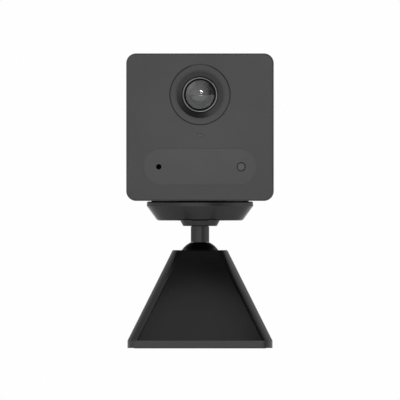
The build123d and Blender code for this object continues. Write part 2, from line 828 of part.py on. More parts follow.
glass_length, glass_height, glass_thickness = 5.8, 6.8, 0.6
slot_middle = (pin_low_z + pin_high_z) / 2 - lens_z
slot_height = pin_high_z - pin_low_z + 2 * rotor_pin_radius + 0.3
tab_bottom = slot_middle - slot_height / 2 - 0.8
with BuildPart() as filter_carrier:
    with BuildSketch(facing_rear(filter_y, x=carrier_x, z=lens_z)):
        Rectangle(filter_frame_length, filter_frame_height)
        with Locations((0, -filter_frame_height / 2)):
            Rectangle(3.0, -tab_bottom - filter_frame_height / 2, align=(Align.CENTER, Align.MAX))
        with Locations((-filter_pitch / 2, 0), (filter_pitch / 2, 0)):
            Rectangle(glass_length - 0.8, glass_height - 0.8, mode=Mode.SUBTRACT)
        with Locations((0, slot_middle)):
            Rectangle(2 * rotor_pin_radius + 0.3, slot_height, mode=Mode.SUBTRACT)
    extrude(amount=filter_frame_thickness)
    with BuildSketch(facing_rear(filter_y, x=carrier_x, z=lens_z)):
        with Locations((-filter_pitch / 2, 0), (filter_pitch / 2, 0)):
            Rectangle(glass_length, glass_height)
    extrude(amount=glass_thickness, mode=Mode.SUBTRACT)
keep(filter_carrier, "filter_carrier")

for glass_name, side in (("infrared_cut_glass", -1), ("clear_glass", 1)):
    with BuildPart() as filter_glass:
        with BuildSketch(facing_rear(filter_y, x=carrier_x + side * filter_pitch / 2, z=lens_z)):
            Rectangle(glass_length - 0.04, glass_height - 0.04)
        extrude(amount=glass_thickness)
    keep(filter_glass, glass_name)

coil_y = arm_y + arm_thickness + 0.1
coil_depth = sensor_board_y - coil_y
pin_rest_x = rotor_arm * math.sin(pin_angle)
with BuildPart() as filter_rotor:
    with BuildSketch(facing_rear(arm_y, z=rotor_z)):
        Circle(1.5)
        with BuildLine():
            Polyline(
                (-0.9, 0),
                (0.9, 0),
                (-pin_rest_x + 0.6, pin_low_z - rotor_z),
                (-pin_rest_x - 0.6, pin_low_z - rotor_z),
                close=True,
            )
        make_face()
        with Locations((-pin_rest_x, pin_low_z - rotor_z)):
            Circle(0.65)
    extrude(amount=arm_thickness)
    with BuildSketch(facing_front(arm_y, x=pin_rest_x, z=pin_low_z)):
        Circle(rotor_pin_radius)
    extrude(amount=arm_y - filter_y - 0.1)
    with BuildSketch(facing_rear(arm_y + arm_thickness, z=rotor_z)):
        Circle(rotor_radius)
    extrude(amount=coil_depth - 0.5)
    with BuildSketch(facing_rear(arm_y, z=rotor_z)):
        Circle(0.55)
    extrude(amount=coil_depth + 2.0, mode=Mode.SUBTRACT)
keep(filter_rotor, "filter_rotor")

with BuildPart() as filter_coil:
    with BuildSketch(facing_front(sensor_board_y, z=rotor_z)):
        RectangleRounded(coil_width, coil_height, 1.2)
    extrude(amount=coil_depth)
    with BuildSketch(facing_front(sensor_board_y - 0.35, z=rotor_z)):
        Circle(rotor_radius + 0.12)
    extrude(amount=coil_depth, mode=Mode.SUBTRACT)
    with BuildSketch(facing_front(sensor_board_y, z=rotor_z)):
        Circle(0.5)
    extrude(amount=coil_depth + 0.7)
keep(filter_coil, "filter_coil")

# --------------------------------------------------------------------------------------
# Image sensor, its board and its flat cable
# --------------------------------------------------------------------------------------

sensor_board_low = -rotor_drop - coil_height / 2 - 1.2
sensor_board_high = holder_half_height + 3.4
sensor_screw_points = [
    (sx * 11.3, rise)
    for sx in (-1, 1)
    for rise in (sensor_board_low + 2.3, holder_half_height + 1.7)
]
with BuildPart() as image_sensor:
    with BuildSketch(facing_front(sensor_board_y, z=lens_z)):
        Rectangle(8.4, 7.4)
    extrude(amount=0.9)
    with BuildSketch(facing_front(sensor_board_y - 0.9, z=lens_z)):
        Rectangle(6.6, 5.6)
    extrude(amount=0.3)
keep(image_sensor, "image_sensor")

with BuildPart() as sensor_board:
    with BuildSketch(facing_rear(sensor_board_y, z=lens_z)):
        with Locations((0, (sensor_board_low + sensor_board_high) / 2)):
            RectangleRounded(sensor_board_width, sensor_board_high - sensor_board_low, 1.0)
        with Locations(*sensor_screw_points):
            Circle(board_screw_radius + fit_gap, mode=Mode.SUBTRACT)
    extrude(amount=board_thickness)
keep(sensor_board, "sensor_board")

flex_thickness = 0.2
flex_y = sensor_board_y + board_thickness + flex_thickness / 2 + 0.02
flex_end_z = board_top_z + flex_thickness / 2 + 0.02
with BuildPart() as sensor_flex:
    with BuildSketch(Plane.YZ):
        with BuildLine():
            FilletPolyline(
                (flex_y, lens_z + sensor_board_low + 6.0),
                (flex_y, lens_z + sensor_board_low - 3.5),
                (flex_y - 4.0, flex_end_z + 2.5),
                (flex_y - 6.5, flex_end_z),
                (flex_y - 10.5, flex_end_z),
                radius=1.2,
            )
        trace(line_width=flex_thickness)
    extrude(amount=4.0, both=True)
keep(sensor_flex, "sensor_flex")

# --------------------------------------------------------------------------------------
# Inner frame, battery and its lead
# --------------------------------------------------------------------------------------

battery_rise = 12.4
battery_z = head_z + battery_rise
tray_gap = 0.2
frame_low = battery_rise - tray_gap - tray_wall
frame_high = battery_rise + battery_height + tray_gap + tray_wall
ear_reach = inner_width / 2 - 0.3
with BuildPart() as inner_frame:
    with BuildSketch(facing_rear(frame_y, z=head_z)):
        with Locations((0, (frame_low + frame_high) / 2)):
            Rectangle(frame_width, frame_high - frame_low)
        for _, rise in ledge_points[:2]:
            with Locations((0, rise)):
                Rectangle(2 * ear_reach, 5.6)
        with Locations(*ledge_points):
            Circle(board_screw_radius + fit_gap, mode=Mode.SUBTRACT)
        with Locations((0, (frame_low + frame_high) / 2)):
            SlotOverall(battery_height * 0.6, 12.0, rotation=90, mode=Mode.SUBTRACT)
    extrude(amount=frame_thickness)
    with BuildSketch(facing_rear(frame_back_y, z=battery_z + battery_height / 2)):
        Rectangle(
            battery_width + 2 * (tray_gap + tray_wall), battery_height + 2 * (tray_gap + tray_wall)
        )
        Rectangle(battery_width + 2 * tray_gap, battery_height + 2 * tray_gap, mode=Mode.SUBTRACT)
        with Locations((0, -battery_height / 2 - tray_gap - tray_wall / 2)):
            Rectangle(battery_width - 8.0, 2 * tray_wall, mode=Mode.SUBTRACT)
    extrude(amount=5.0)
    with BuildSketch(facing_front(frame_y, z=lens_z)):
        with Locations(*sensor_screw_points):
            Circle(1.9)
    extrude(amount=frame_y - sensor_board_y - board_thickness)
    with BuildSketch(facing_front(frame_back_y, z=lens_z)):
        with Locations(*sensor_screw_points):
            Circle(board_screw_radius)
    extrude(amount=frame_back_y - sensor_board_y, mode=Mode.SUBTRACT)
keep(inner_frame, "inner_frame")

with BuildPart() as battery_pouch:
    with BuildSketch(facing_rear(battery_y, z=battery_z + battery_height / 2)):
        RectangleRounded(battery_width, battery_height, 2.0)
    extrude(amount=battery_thickness)
    fillet(battery_pouch.faces().sort_by(Axis.Y)[-1].edges(), 1.5)
keep(battery_pouch, "battery_pouch")

lead_radius = 0.55
lead_y = battery_y + 2.2
lead_x = 12.2
connector_x = 19.6
with BuildPart() as battery_lead:
    for side in (-1, 1):
        wire_y = lead_y + side * (lead_radius + 0.05)
        with BuildLine():
            route = FilletPolyline(
                (lead_x, wire_y, battery_z),
                (lead_x, wire_y, battery_z - 1.9),
                (lead_x + 3.2, wire_y, board_top_z + 1.4),
                (connector_x - 2.0, wire_y, board_top_z + 1.4),
                radius=0.9,
            )
        with BuildSketch(Plane(origin=route @ 0, z_dir=route % 0)):
            Circle(lead_radius)
        sweep(path=route)
    with Locations((connector_x, lead_y, board_top_z)):
        Box(4.0, 3.6, 2.6, align=(Align.CENTER, Align.CENTER, Align.MIN))
keep(battery_lead, "battery_lead")

# --------------------------------------------------------------------------------------
# Front board: lamps, motion sensor and microphone
# --------------------------------------------------------------------------------------

front_board_low = 5.6
front_board_high = status_rise + 2.8
with BuildPart() as front_board:
    with BuildSketch(facing_rear(front_board_y, z=head_z)):
        with Locations((0, (front_board_low + front_board_high) / 2)):
            RectangleRounded(front_board_width, front_board_high - front_board_low, 1.0)
        with Locations(*front_board_screw_points):
            Circle(board_screw_radius + fit_gap, mode=Mode.SUBTRACT)
    extrude(amount=board_thickness)
keep(front_board, "front_board")

with BuildPart() as front_lamps:
    for side in (-1, 1):
        with BuildSketch(facing_front(front_board_y, x=side * infrared_offset, z=window_z)):
            RectangleRounded(3.5, 3.5, 0.3)
        extrude(amount=1.0)
        with Locations((side * infrared_offset, front_board_y - 1.0, window_z)):
            Sphere(1.4)
    with BuildSketch(facing_front(front_board_y, z=status_z)):
        Rectangle(1.6, 0.8)
    extrude(amount=0.6)
    split(bisect_by=Plane.XZ.offset(-front_board_y), keep=Keep.TOP)
keep(front_lamps, "front_lamps")

pipe_back_y = front_board_y - 0.8
with BuildPart() as status_light_pipe:
    with BuildSketch(facing_front(pipe_back_y, z=status_z)):
        SlotOverall(status_length - 0.2, status_height - 0.2)
    extrude(amount=pipe_back_y - front_y - 0.25)
    with BuildSketch(facing_rear(panel_back_y, z=status_z)):
        RectangleRounded(4.2, 3.0, 0.5)
    extrude(amount=0.8)
keep(status_light_pipe, "status_light_pipe")

with BuildPart() as motion_lens:
    with BuildSketch(beside_axis(window_z)):
        Polygon(
            (front_y + 0.1, 0),
            (front_y + 0.1, motion_lens_radius - 0.25),
            (front_y + 0.25, motion_lens_radius),
            (panel_back_y, motion_lens_radius),
            (panel_back_y, motion_hole_radius + 0.9),
            (panel_back_y + 0.6, motion_hole_radius + 0.9),
            (panel_back_y + 0.6, 0),
            align=None,
        )
    lens_at_middle = revolve(axis=Axis((0, 0, window_z), (0, 1, 0)), mode=Mode.PRIVATE)
    with Locations((sensor_hole_offset, 0, 0)):
        add(lens_at_middle)
keep(motion_lens, "motion_lens")

with BuildPart() as motion_sensor:
    with BuildSketch(facing_front(front_board_y, x=sensor_hole_offset, z=window_z)):
        Circle(2.6)
    extrude(amount=2.6)
    fillet(motion_sensor.faces().sort_by(Axis.Y)[0].edges(), 0.4)
keep(motion_sensor, "motion_sensor")

with BuildPart() as microphone:
    with BuildSketch(facing_front(front_board_y, x=-sensor_hole_offset, z=window_z)):
        Rectangle(3.5, 2.65)
    extrude(amount=1.0)
    with BuildSketch(facing_front(front_board_y - 1.0, x=-sensor_hole_offset, z=window_z)):
        Circle(0.4)
    extrude(amount=-0.5, mode=Mode.SUBTRACT)
keep(microphone, "microphone")

# --------------------------------------------------------------------------------------
# Main board and what is soldered to it
# --------------------------------------------------------------------------------------

main_board_front_y = -17.0
board_notch_y = 4.4
board_rear_y = cover_front_y - port_boss - 0.2
with BuildPart() as main_board:
    with BuildSketch(Plane.XY.offset(main_board_z)):
        with Locations((0, main_board_front_y)):
            Rectangle(
                main_board_front_width,
                board_notch_y - main_board_front_y,
                align=(Align.CENTER, Align.MIN),
            )
            Rectangle(
                main_board_rear_width,
                board_rear_y - main_board_front_y,
                align=(Align.CENTER, Align.MIN),
            )
        with Locations(*main_screw_points):
            Circle(board_screw_radius + fit_gap, mode=Mode.SUBTRACT)
    extrude(amount=main_board_thickness)
keep(main_board, "main_board")

with BuildPart() as shield_cans:
    for (x, y), (length, width) in (((3.0, 3.0), (15.0, 12.0)), ((-9.6, 3.0), (9.0, 12.0))):
        with BuildSketch(Plane.XY.offset(board_top_z)):
            with Locations((x, y)):
                RectangleRounded(length, width, 0.6)
        extrude(amount=1.9)
keep(shield_cans, "shield_cans")

usb_z = board_top_z + usb_height / 2
usb_rear_y = board_rear_y
with BuildPart() as usb_socket:
    with BuildSketch(facing_front(usb_rear_y, x=usb_offset, z=usb_z)):
        SlotOverall(usb_width, usb_height)
        SlotOverall(usb_width - 0.6, usb_height - 0.6, mode=Mode.SUBTRACT)
    extrude(amount=7.4)
    with BuildSketch(facing_front(usb_rear_y - 6.0, x=usb_offset, z=usb_z)):
        SlotOverall(usb_width - 0.4, usb_height - 0.4)
    extrude(amount=1.4)
    with BuildSketch(facing_front(usb_rear_y - 0.8, x=usb_offset, z=usb_z)):
        Rectangle(6.6, 0.7)
    extrude(amount=6.0)
keep(usb_socket, "usb_socket")

card_z = board_top_z + card_height / 2
with BuildPart() as card_socket:
    with BuildSketch(Plane.XY.offset(board_top_z)):
        with Locations((card_offset, board_rear_y)):
            Rectangle(card_width, 13.2, align=(Align.CENTER, Align.MAX))
    extrude(amount=card_height)
    with BuildSketch(facing_front(board_rear_y, x=card_offset, z=card_z)):
        Rectangle(11.4, 1.1)
    extrude(amount=12.4, mode=Mode.SUBTRACT)
keep(card_socket, "card_socket")

reset_z = board_top_z + 1.0
reset_body_y = board_rear_y - 1.4
button_switch_y = 17.8
with BuildPart() as key_switches:
    with BuildSketch(facing_front(reset_body_y, x=reset_offset, z=reset_z)):
        Rectangle(3.4, 2.0)
        Circle(reset_hole_radius - 0.1 + 0.06, mode=Mode.SUBTRACT)
    extrude(amount=3.0)
    with BuildSketch(facing_rear(button_switch_y, z=button_z)):
        RectangleRounded(6.0, 6.0, 0.6)
    extrude(amount=3.4)
    with BuildSketch(facing_front(button_switch_y + 3.4, z=button_z)):
        Circle(1.5 + 0.1)
    extrude(amount=1.2, mode=Mode.SUBTRACT)
keep(key_switches, "key_switches")

with BuildPart() as reset_plunger:
    with BuildSketch(facing_rear(reset_body_y - 1.6, x=reset_offset, z=reset_z)):
        Circle(reset_hole_radius - 0.1)
    extrude(amount=2.6)
keep(reset_plunger, "reset_plunger")

# --------------------------------------------------------------------------------------
# Rear cover, speaker, button and port flap
# --------------------------------------------------------------------------------------

button_post_x = 9.0
port_floor_y = rear_y - port_depth
pocket_low_z = port_z - port_height / 2
hinge_z = pocket_low_z + hinge_inset
flap_back_y = port_floor_y + 0.05
flap_front_y = flap_back_y + flap_thickness
hinge_y = flap_front_y - hinge_radius - 0.1

with BuildPart() as rear_cover:
    with BuildSketch(facing_rear(cover_front_y, z=head_middle_z)):
        RectangleRounded(head_width, head_height, head_corner)
    extrude(amount=cover_thickness)
    fillet(rear_cover.faces().sort_by(Axis.Y)[-1].edges(), head_edge)
    with BuildSketch(facing_front(cover_front_y, z=head_middle_z)):
        RectangleRounded(lip_width, lip_height, head_corner - wall - fit_gap)
        RectangleRounded(
            lip_width - 2 * lip_wall, lip_height - 2 * lip_wall, 0.6, mode=Mode.SUBTRACT
        )
        with Locations(*corner_points_of_cover):
            Circle(corner_boss_radius)
    extrude(amount=rear_lip_length)
    # Posts for the button's board, a ring round the speaker and a boss behind the ports.
    with BuildSketch(facing_front(cover_front_y, z=button_z)):
        with Locations((-button_post_x, 0), (button_post_x, 0)):
            Circle(1.8)
    extrude(amount=cover_front_y - button_switch_y)
    with BuildSketch(facing_front(cover_front_y, z=speaker_z)):
        Circle(speaker_ring_radius)
        Circle(speaker_radius + speaker_ring_gap, mode=Mode.SUBTRACT)
    extrude(amount=1.6)
    with BuildSketch(facing_front(cover_front_y, x=port_shift, z=port_z)):
        Rectangle(port_width + 2.4, port_height + 2.0)
    extrude(amount=port_boss)
    # Holes and recesses from outside.
    with BuildSketch(facing_front(rear_y, x=port_shift, z=port_z)):
        RectangleRounded(port_width, port_height, port_corner)
    extrude(amount=port_depth, mode=Mode.SUBTRACT)
    with BuildSketch(Plane.YZ.offset(port_shift)):
        with Locations((hinge_y, hinge_z)):
            Circle(hinge_radius + 0.12)
    extrude(amount=port_width / 2 - port_corner, both=True, mode=Mode.SUBTRACT)
    with BuildSketch(Plane.YZ.offset(port_shift)):
        with Locations((hinge_y, hinge_z)):
            Circle(hinge_pin_radius)
    extrude(amount=port_width / 2 + 0.8, both=True, mode=Mode.SUBTRACT)
    with BuildSketch(facing_front(rear_y)):
        with Locations((usb_offset, usb_z)):
            SlotOverall(usb_width + 0.5, usb_height + 0.5)
        with Locations((card_offset, card_z)):
            RectangleRounded(12.2, 1.9, 0.4)
        with Locations((reset_offset, reset_z)):
            Circle(reset_hole_radius)
        with Locations((0, button_z)):
            Circle(button_radius + button_gap)
        with Locations((0, speaker_z)):
            Circle(speaker_hole_radius)
            for ring in range(1, speaker_hole_rings + 1):
                with PolarLocations(ring * speaker_hole_pitch, 6 * ring):
                    Circle(speaker_hole_radius)
    extrude(amount=cover_thickness + port_boss, mode=Mode.SUBTRACT)
    with BuildSketch(facing_front(button_switch_y, z=button_z)):
        with Locations((-button_post_x, 0), (button_post_x, 0)):
            Circle(board_screw_radius)
    extrude(amount=-5.0, mode=Mode.SUBTRACT)
    with Locations(facing_rear(rear_y, z=head_middle_z)):
        with Locations(*corner_points_of_cover):
            CounterSinkHole(
                corner_screw_radius + fit_gap, corner_screw_head_radius + 0.15, counter_sink_angle=90
            )
    # A scoop above the flap lets a nail under it.
    with Locations((port_shift, rear_y + 3.0, port_z + port_height / 2)):
        Sphere(4.0, mode=Mode.SUBTRACT)
keep(rear_cover, "rear_cover")

corner_screw_length = 12.0
with BuildPart() as rear_cover_screws:
    with BuildSketch(beside_axis(0)):
        with Locations((rear_y - 0.1, 0)):
            Polygon(
                (-0.5, 0),
                (0, 0.5),
                (0, corner_screw_head_radius),
                (corner_screw_radius - corner_screw_head_radius, corner_screw_radius),
                (-corner_screw_length + 0.5, corner_screw_radius - screw_pilot),
                (-corner_screw_length, 0),
                align=None,
            )
    one_corner_screw = revolve(axis=Axis.Y, mode=Mode.PRIVATE)
    with Locations(*[(x, 0, head_middle_z + z) for x, z in corner_points_of_cover]):
        add(one_corner_screw)
    with BuildSketch(facing_front(rear_y, z=head_middle_z)):
        with Locations(*corner_points_of_cover):
            Rectangle(recess_length, recess_width)
            Rectangle(recess_width, recess_length)
    extrude(amount=recess_depth, mode=Mode.SUBTRACT)
keep(rear_cover_screws, "rear_cover_screws")

speaker_front_y = cover_front_y - 0.5
speaker_back_y = speaker_front_y - 4.2
with BuildPart() as speaker_frame:
    with BuildSketch(facing_front(speaker_front_y, z=speaker_z)):
        Circle(speaker_radius)
        Circle(speaker_radius - 1.0, mode=Mode.SUBTRACT)
    extrude(amount=speaker_front_y - speaker_back_y)
    with BuildSketch(facing_rear(speaker_back_y, z=speaker_z)):
        Circle(speaker_radius)
    extrude(amount=0.8)
    with BuildSketch(facing_front(speaker_back_y, z=speaker_z)):
        Circle(6.0)
    extrude(amount=1.6)
keep(speaker_frame, "speaker_frame")

with BuildPart() as speaker_cone:
    with BuildSketch(beside_axis(speaker_z)):
        Polygon(
            (speaker_front_y - 0.7, speaker_radius - 1.1),
            (speaker_front_y - 0.7, speaker_radius - 2.0),
            (speaker_front_y - 2.4, 3.6),
            (speaker_front_y - 1.6, 2.0),
            (speaker_front_y - 1.3, 0),
            (speaker_front_y - 1.7, 0),
            (speaker_front_y - 2.0, 2.0),
            (speaker_front_y - 2.8, 3.6),
            (speaker_front_y - 1.1, speaker_radius - 2.0),
            (speaker_front_y - 1.1, speaker_radius - 1.1),
            align=None,
        )
    revolve(axis=Axis((0, 0, speaker_z), (0, 1, 0)))
keep(speaker_cone, "speaker_cone")

# Two foam rings seal the sound paths of the speaker and of the microphone.
with BuildPart() as sound_gaskets:
    with BuildSketch(facing_rear(speaker_front_y, z=speaker_z)):
        Circle(speaker_radius)
        Circle(speaker_radius - 1.6, mode=Mode.SUBTRACT)
    extrude(amount=cover_front_y - speaker_front_y)
    with BuildSketch(facing_rear(panel_back_y, x=-sensor_hole_offset, z=window_z)):
        Circle(2.2)
        Circle(0.8, mode=Mode.SUBTRACT)
    extrude(amount=front_board_y - 1.0 - panel_back_y)
keep(sound_gaskets, "sound_gaskets")

button_front_y = rear_y - button_sink
button_flange_y = cover_front_y - 0.05
with BuildPart() as power_button:
    with BuildSketch(facing_rear(button_flange_y, z=button_z)):
        Circle(button_radius)
    extrude(amount=button_front_y - button_flange_y)
    fillet(power_button.faces().sort_by(Axis.Y)[-1].edges(), 0.35)
    with Locations((0, button_front_y + 11.6, button_z)):
        Sphere(12.0, mode=Mode.SUBTRACT)
    with BuildSketch(facing_front(button_flange_y, z=button_z)):
        Circle(button_radius + 0.9)
    extrude(amount=0.8)
    with BuildSketch(facing_front(button_flange_y - 0.8, z=button_z)):
        Circle(1.5)
    extrude(amount=button_flange_y - 0.8 - (button_switch_y + 3.4) + 0.5)
keep(power_button, "power_button")

with BuildPart() as button_board:
    with BuildSketch(facing_front(button_switch_y, z=button_z)):
        RectangleRounded(2 * button_post_x + 5.0, 7.6, 1.0)
        with Locations((-button_post_x, 0), (button_post_x, 0)):
            Circle(board_screw_radius + fit_gap, mode=Mode.SUBTRACT)
    extrude(amount=board_thickness)
keep(button_board, "button_board")

flap_width = port_width - 2 * flap_gap
flap_top_z = pocket_low_z + port_height - flap_gap
barrel_length_of_flap = port_width - 2 * port_corner - 0.6
with BuildPart() as port_flap:
    with BuildSketch(facing_rear(flap_back_y, x=port_shift, z=flap_top_z)) as flap_outline:
        Rectangle(flap_width, flap_top_z - hinge_z, align=(Align.CENTER, Align.MAX))
        fillet(flap_outline.vertices().group_by(Axis.Z)[-1], port_corner - flap_gap)
    extrude(amount=flap_thickness)
    with BuildSketch(Plane.YZ.offset(port_shift)):
        with Locations((hinge_y, hinge_z)):
            Circle(hinge_radius)
    extrude(amount=barrel_length_of_flap / 2, both=True)
    # Its lower corners are cut back, because the pocket is rounded there.
    with Locations((port_shift, (flap_back_y + flap_front_y) / 2, hinge_z)):
        with GridLocations(port_width - 2 * port_corner + 4.8, 1.0, 2, 1):
            Box(4.0, 2 * flap_thickness, 2.2, mode=Mode.SUBTRACT)
    with BuildSketch(facing_front(flap_back_y)):
        with Locations((usb_offset, usb_z)):
            SlotOverall(usb_width - 1.2, usb_height - 0.8)
        with Locations((card_offset, card_z)):
            Rectangle(10.4, 0.9)
    extrude(amount=0.85)
    with BuildSketch(Plane.YZ.offset(port_shift)):
        with Locations((hinge_y, hinge_z)):
            Circle(hinge_pin_radius + 0.04)
    extrude(amount=port_width, both=True, mode=Mode.SUBTRACT)
keep(port_flap, "port_flap")

with BuildPart() as flap_pin:
    with BuildSketch(Plane.YZ.offset(port_shift)):
        with Locations((hinge_y, hinge_z)):
            Circle(hinge_pin_radius)
    extrude(amount=port_width / 2 + 0.7, both=True)
keep(flap_pin, "flap_pin")

# --------------------------------------------------------------------------------------
# The small screws that hold the boards and the frame, all of one kind
# --------------------------------------------------------------------------------------

board_screw_length = 3.2


def board_screw(plane):
    """One pan-head screw. Its head stands on the plane and its shank runs down the plane's -Z."""
    with BuildPart(plane) as one:
        with BuildSketch(plane):
            Circle(board_screw_head_radius)
        extrude(amount=board_screw_head_height)
        fillet(one.faces().sort_by(Axis(plane.origin, plane.z_dir))[-1].edges(), 0.35)
        with BuildSketch(plane):
            Circle(board_screw_radius - screw_pilot)
        extrude(amount=-board_screw_length)
    return one.part


screw_planes = [Plane.XY.offset(board_top_z).move(Location((x, y, 0))) for x, y in main_screw_points]
screw_planes += [facing_front(sensor_board_y, x, lens_z + rise) for x, rise in sensor_screw_points]
screw_planes += [facing_front(frame_y, x, head_z + rise) for x, rise in ledge_points]
screw_planes += [
    facing_rear(front_board_y + board_thickness, x, head_z + rise)
    for x, rise in front_board_screw_points
]
screw_planes += [
    facing_front(button_switch_y - board_thickness, x, button_z)
    for x in (-button_post_x, button_post_x)
]
with BuildPart() as board_screws:
    for screw_plane in screw_planes:
        add(board_screw(screw_plane))
keep(board_screws, "board_screws")
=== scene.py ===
# %% [markdown]
# # A small security camera, finished in Blender
#
# The object is a battery-powered camera: a 54 mm cube with a round lens, held by a ball joint on a
# weighted pyramid. Its solid pieces come from a CAD model, so their places and sizes are fixed.
# This lesson dresses them. First comes the studio, then one finish after another, then the small
# pieces that are too soft or too fine for the CAD model: rubber, foam, mesh, cloth and a painted
# sign.
#
# Every length is in metres. The lens looks along -Y and +Z is up.

# %% Load the CAD frame
import json
import math

import bmesh
import bpy
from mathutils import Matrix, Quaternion, Vector

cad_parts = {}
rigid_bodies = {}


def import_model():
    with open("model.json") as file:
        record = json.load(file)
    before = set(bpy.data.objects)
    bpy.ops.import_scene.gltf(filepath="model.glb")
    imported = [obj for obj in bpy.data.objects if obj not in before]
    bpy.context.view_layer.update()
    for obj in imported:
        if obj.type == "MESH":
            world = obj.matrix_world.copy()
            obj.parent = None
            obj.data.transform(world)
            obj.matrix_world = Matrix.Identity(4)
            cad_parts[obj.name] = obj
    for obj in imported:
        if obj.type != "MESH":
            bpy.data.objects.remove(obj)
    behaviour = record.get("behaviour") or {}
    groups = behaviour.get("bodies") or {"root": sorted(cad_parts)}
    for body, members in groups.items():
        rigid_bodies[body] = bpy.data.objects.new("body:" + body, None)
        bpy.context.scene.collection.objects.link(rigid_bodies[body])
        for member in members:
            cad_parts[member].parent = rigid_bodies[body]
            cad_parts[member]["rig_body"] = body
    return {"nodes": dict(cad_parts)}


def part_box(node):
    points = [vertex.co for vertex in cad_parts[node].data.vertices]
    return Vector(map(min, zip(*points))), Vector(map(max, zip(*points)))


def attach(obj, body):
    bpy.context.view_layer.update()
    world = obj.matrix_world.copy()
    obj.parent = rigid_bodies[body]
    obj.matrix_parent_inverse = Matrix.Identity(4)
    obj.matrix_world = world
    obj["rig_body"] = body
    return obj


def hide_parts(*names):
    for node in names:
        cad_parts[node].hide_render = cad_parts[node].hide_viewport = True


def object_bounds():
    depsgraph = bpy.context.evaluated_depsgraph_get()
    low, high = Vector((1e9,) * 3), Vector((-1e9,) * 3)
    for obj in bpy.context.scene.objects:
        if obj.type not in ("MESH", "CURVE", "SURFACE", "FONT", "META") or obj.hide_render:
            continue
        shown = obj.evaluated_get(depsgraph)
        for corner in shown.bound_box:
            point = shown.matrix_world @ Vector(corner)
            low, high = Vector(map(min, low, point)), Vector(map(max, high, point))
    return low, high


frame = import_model()
cad_low, cad_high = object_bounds()
MM = 0.001
height = cad_high.z - cad_low.z
print("height:", round(height, 4))

# %% [markdown]
# ## The camera
#
# A product picture like this is taken from far away with a long lens, so nothing grows smaller
# with distance. An orthographic camera does the same. It looks level at the front, a little above
# the middle of the object, and its frame leaves a white border all round.

# %% Set up the camera
FRAME_WIDTH = 146.4 * MM
CAMERA_HEIGHT = 54.34 * MM
CAMERA_DISTANCE = 0.6
CAMERA_SEES_FROM, CAMERA_SEES_TO = 0.01, 20.0


def make_camera():
    data = bpy.data.cameras.new("studio_camera")
    data.type = "ORTHO"
    data.ortho_scale = FRAME_WIDTH
    data.clip_start = CAMERA_SEES_FROM
    data.clip_end = CAMERA_SEES_TO
    camera = bpy.data.objects.new("studio_camera", data)
    bpy.context.scene.collection.objects.link(camera)
    camera.location = (0.0, -CAMERA_DISTANCE, CAMERA_HEIGHT)
    camera.rotation_euler = (math.radians(90.0), 0.0, 0.0)
    bpy.context.scene.camera = camera
    return camera


studio_camera = make_camera()
print("camera frame:", round(FRAME_WIDTH, 4), "m wide")

# %% [markdown]
# ## The floor
#
# The floor is matt and nearly white, with a faint mottle, so it only carries a soft shadow. It
# glows a little, as a white sweep does under studio light, so that pieces that mirror it don't go
# dark.

# %% Lay the floor
FLOOR_SIZE = 9.0
FLOOR_GAP = 0.00002
FLOOR_ROUGHNESS = 0.75
FLOOR_GLOW = 0.36
FLOOR_MOTTLE = 60.0
FLOOR_DARKEST, FLOOR_PALEST = 0.86, 0.89


def grey(value):
    return (value, value, value, 1.0)


def make_floor():
    bpy.ops.object.select_all(action="DESELECT")
    bpy.ops.mesh.primitive_plane_add(
        size=FLOOR_SIZE, location=(0.0, 0.0, cad_low.z - FLOOR_GAP)
    )
    floor = bpy.context.object
    floor.name = "studio_floor"
    material = bpy.data.materials.new("pale_floor")
    material.use_nodes = True
    nodes, links = material.node_tree.nodes, material.node_tree.links
    shader = nodes["Principled BSDF"]
    shader.inputs["Roughness"].default_value = FLOOR_ROUGHNESS
    shader.inputs["Emission Color"].default_value = grey(1.0)
    shader.inputs["Emission Strength"].default_value = FLOOR_GLOW
    coordinates = nodes.new("ShaderNodeTexCoord")
    mottle = nodes.new("ShaderNodeTexNoise")
    mottle.inputs["Scale"].default_value = FLOOR_MOTTLE
    tone = nodes.new("ShaderNodeValToRGB")
    tone.color_ramp.elements[0].color = grey(FLOOR_DARKEST)
    tone.color_ramp.elements[1].color = grey(FLOOR_PALEST)
    links.new(coordinates.outputs["Object"], mottle.inputs["Vector"])
    links.new(mottle.outputs["Fac"], tone.inputs["Fac"])
    links.new(tone.outputs["Color"], shader.inputs["Base Color"])
    floor.data.materials.append(material)
    return floor


studio_floor = make_floor()
print("floor at z =", round(studio_floor.location.z, 5))

# %% [markdown]
# ## The room
#
# Dark plastic shows its surroundings more than its own colour. The vertical faces are grey because
# they mirror a bright wall in front of them. The slopes are nearly black because they mirror a
# black flag that hangs above the camera. So the light is built as a room: bright around the
# horizon, dimmer above the camera, and bright again overhead, with a dark gap to the right of the
# camera and a bright strip beyond it. The room is painted into the world by direction, as one ramp
# over height times another over turn. What the camera sees directly stays plain white.

# %% Paint the room into the world
# Each pair is an angle in degrees and the brightness there. Height runs from straight down to
# straight up. Turn is 0 towards the camera and grows to its right.
ROOM_BY_HEIGHT = [
    (-90, 0.70),
    (-6, 1.40),
    (0, 1.50),
    (14, 1.42),
    (30, 1.15),
    (46, 0.95),
    (60, 0.75),
    (70, 1.20),
    (79, 4.50),
    (90, 5.00),
]
ROOM_BY_TURN = [
    (-180, 0.20),
    (-152, 0.25),
    (-141, 0.55),
    (-112, 0.58),
    (-90, 0.64),
    (-60, 0.66),
    (-46, 0.78),
    (-33, 0.96),
    (-15, 1.03),
    (0, 0.98),
    (12, 0.82),
    (24, 0.38),
    (29, 0.12),
    (44, 0.14),
    (52, 0.40),
    (66, 0.62),
    (88, 0.92),
    (104, 0.88),
    (128, 0.80),
    (141, 0.55),
    (152, 0.25),
    (180, 0.20),
]
BACKDROP = 0.991
# A black flag hangs above the camera. Its two lists say how much of the light it takes away.
FLAG_BY_HEIGHT = [(38, 0.0), (47, 1.0), (66, 1.0), (74, 0.0)]
FLAG_BY_TURN = [(-30, 0.0), (-17, 1.0), (26, 1.0), (38, 0.0)]
FLAG_DEPTH = 0.98


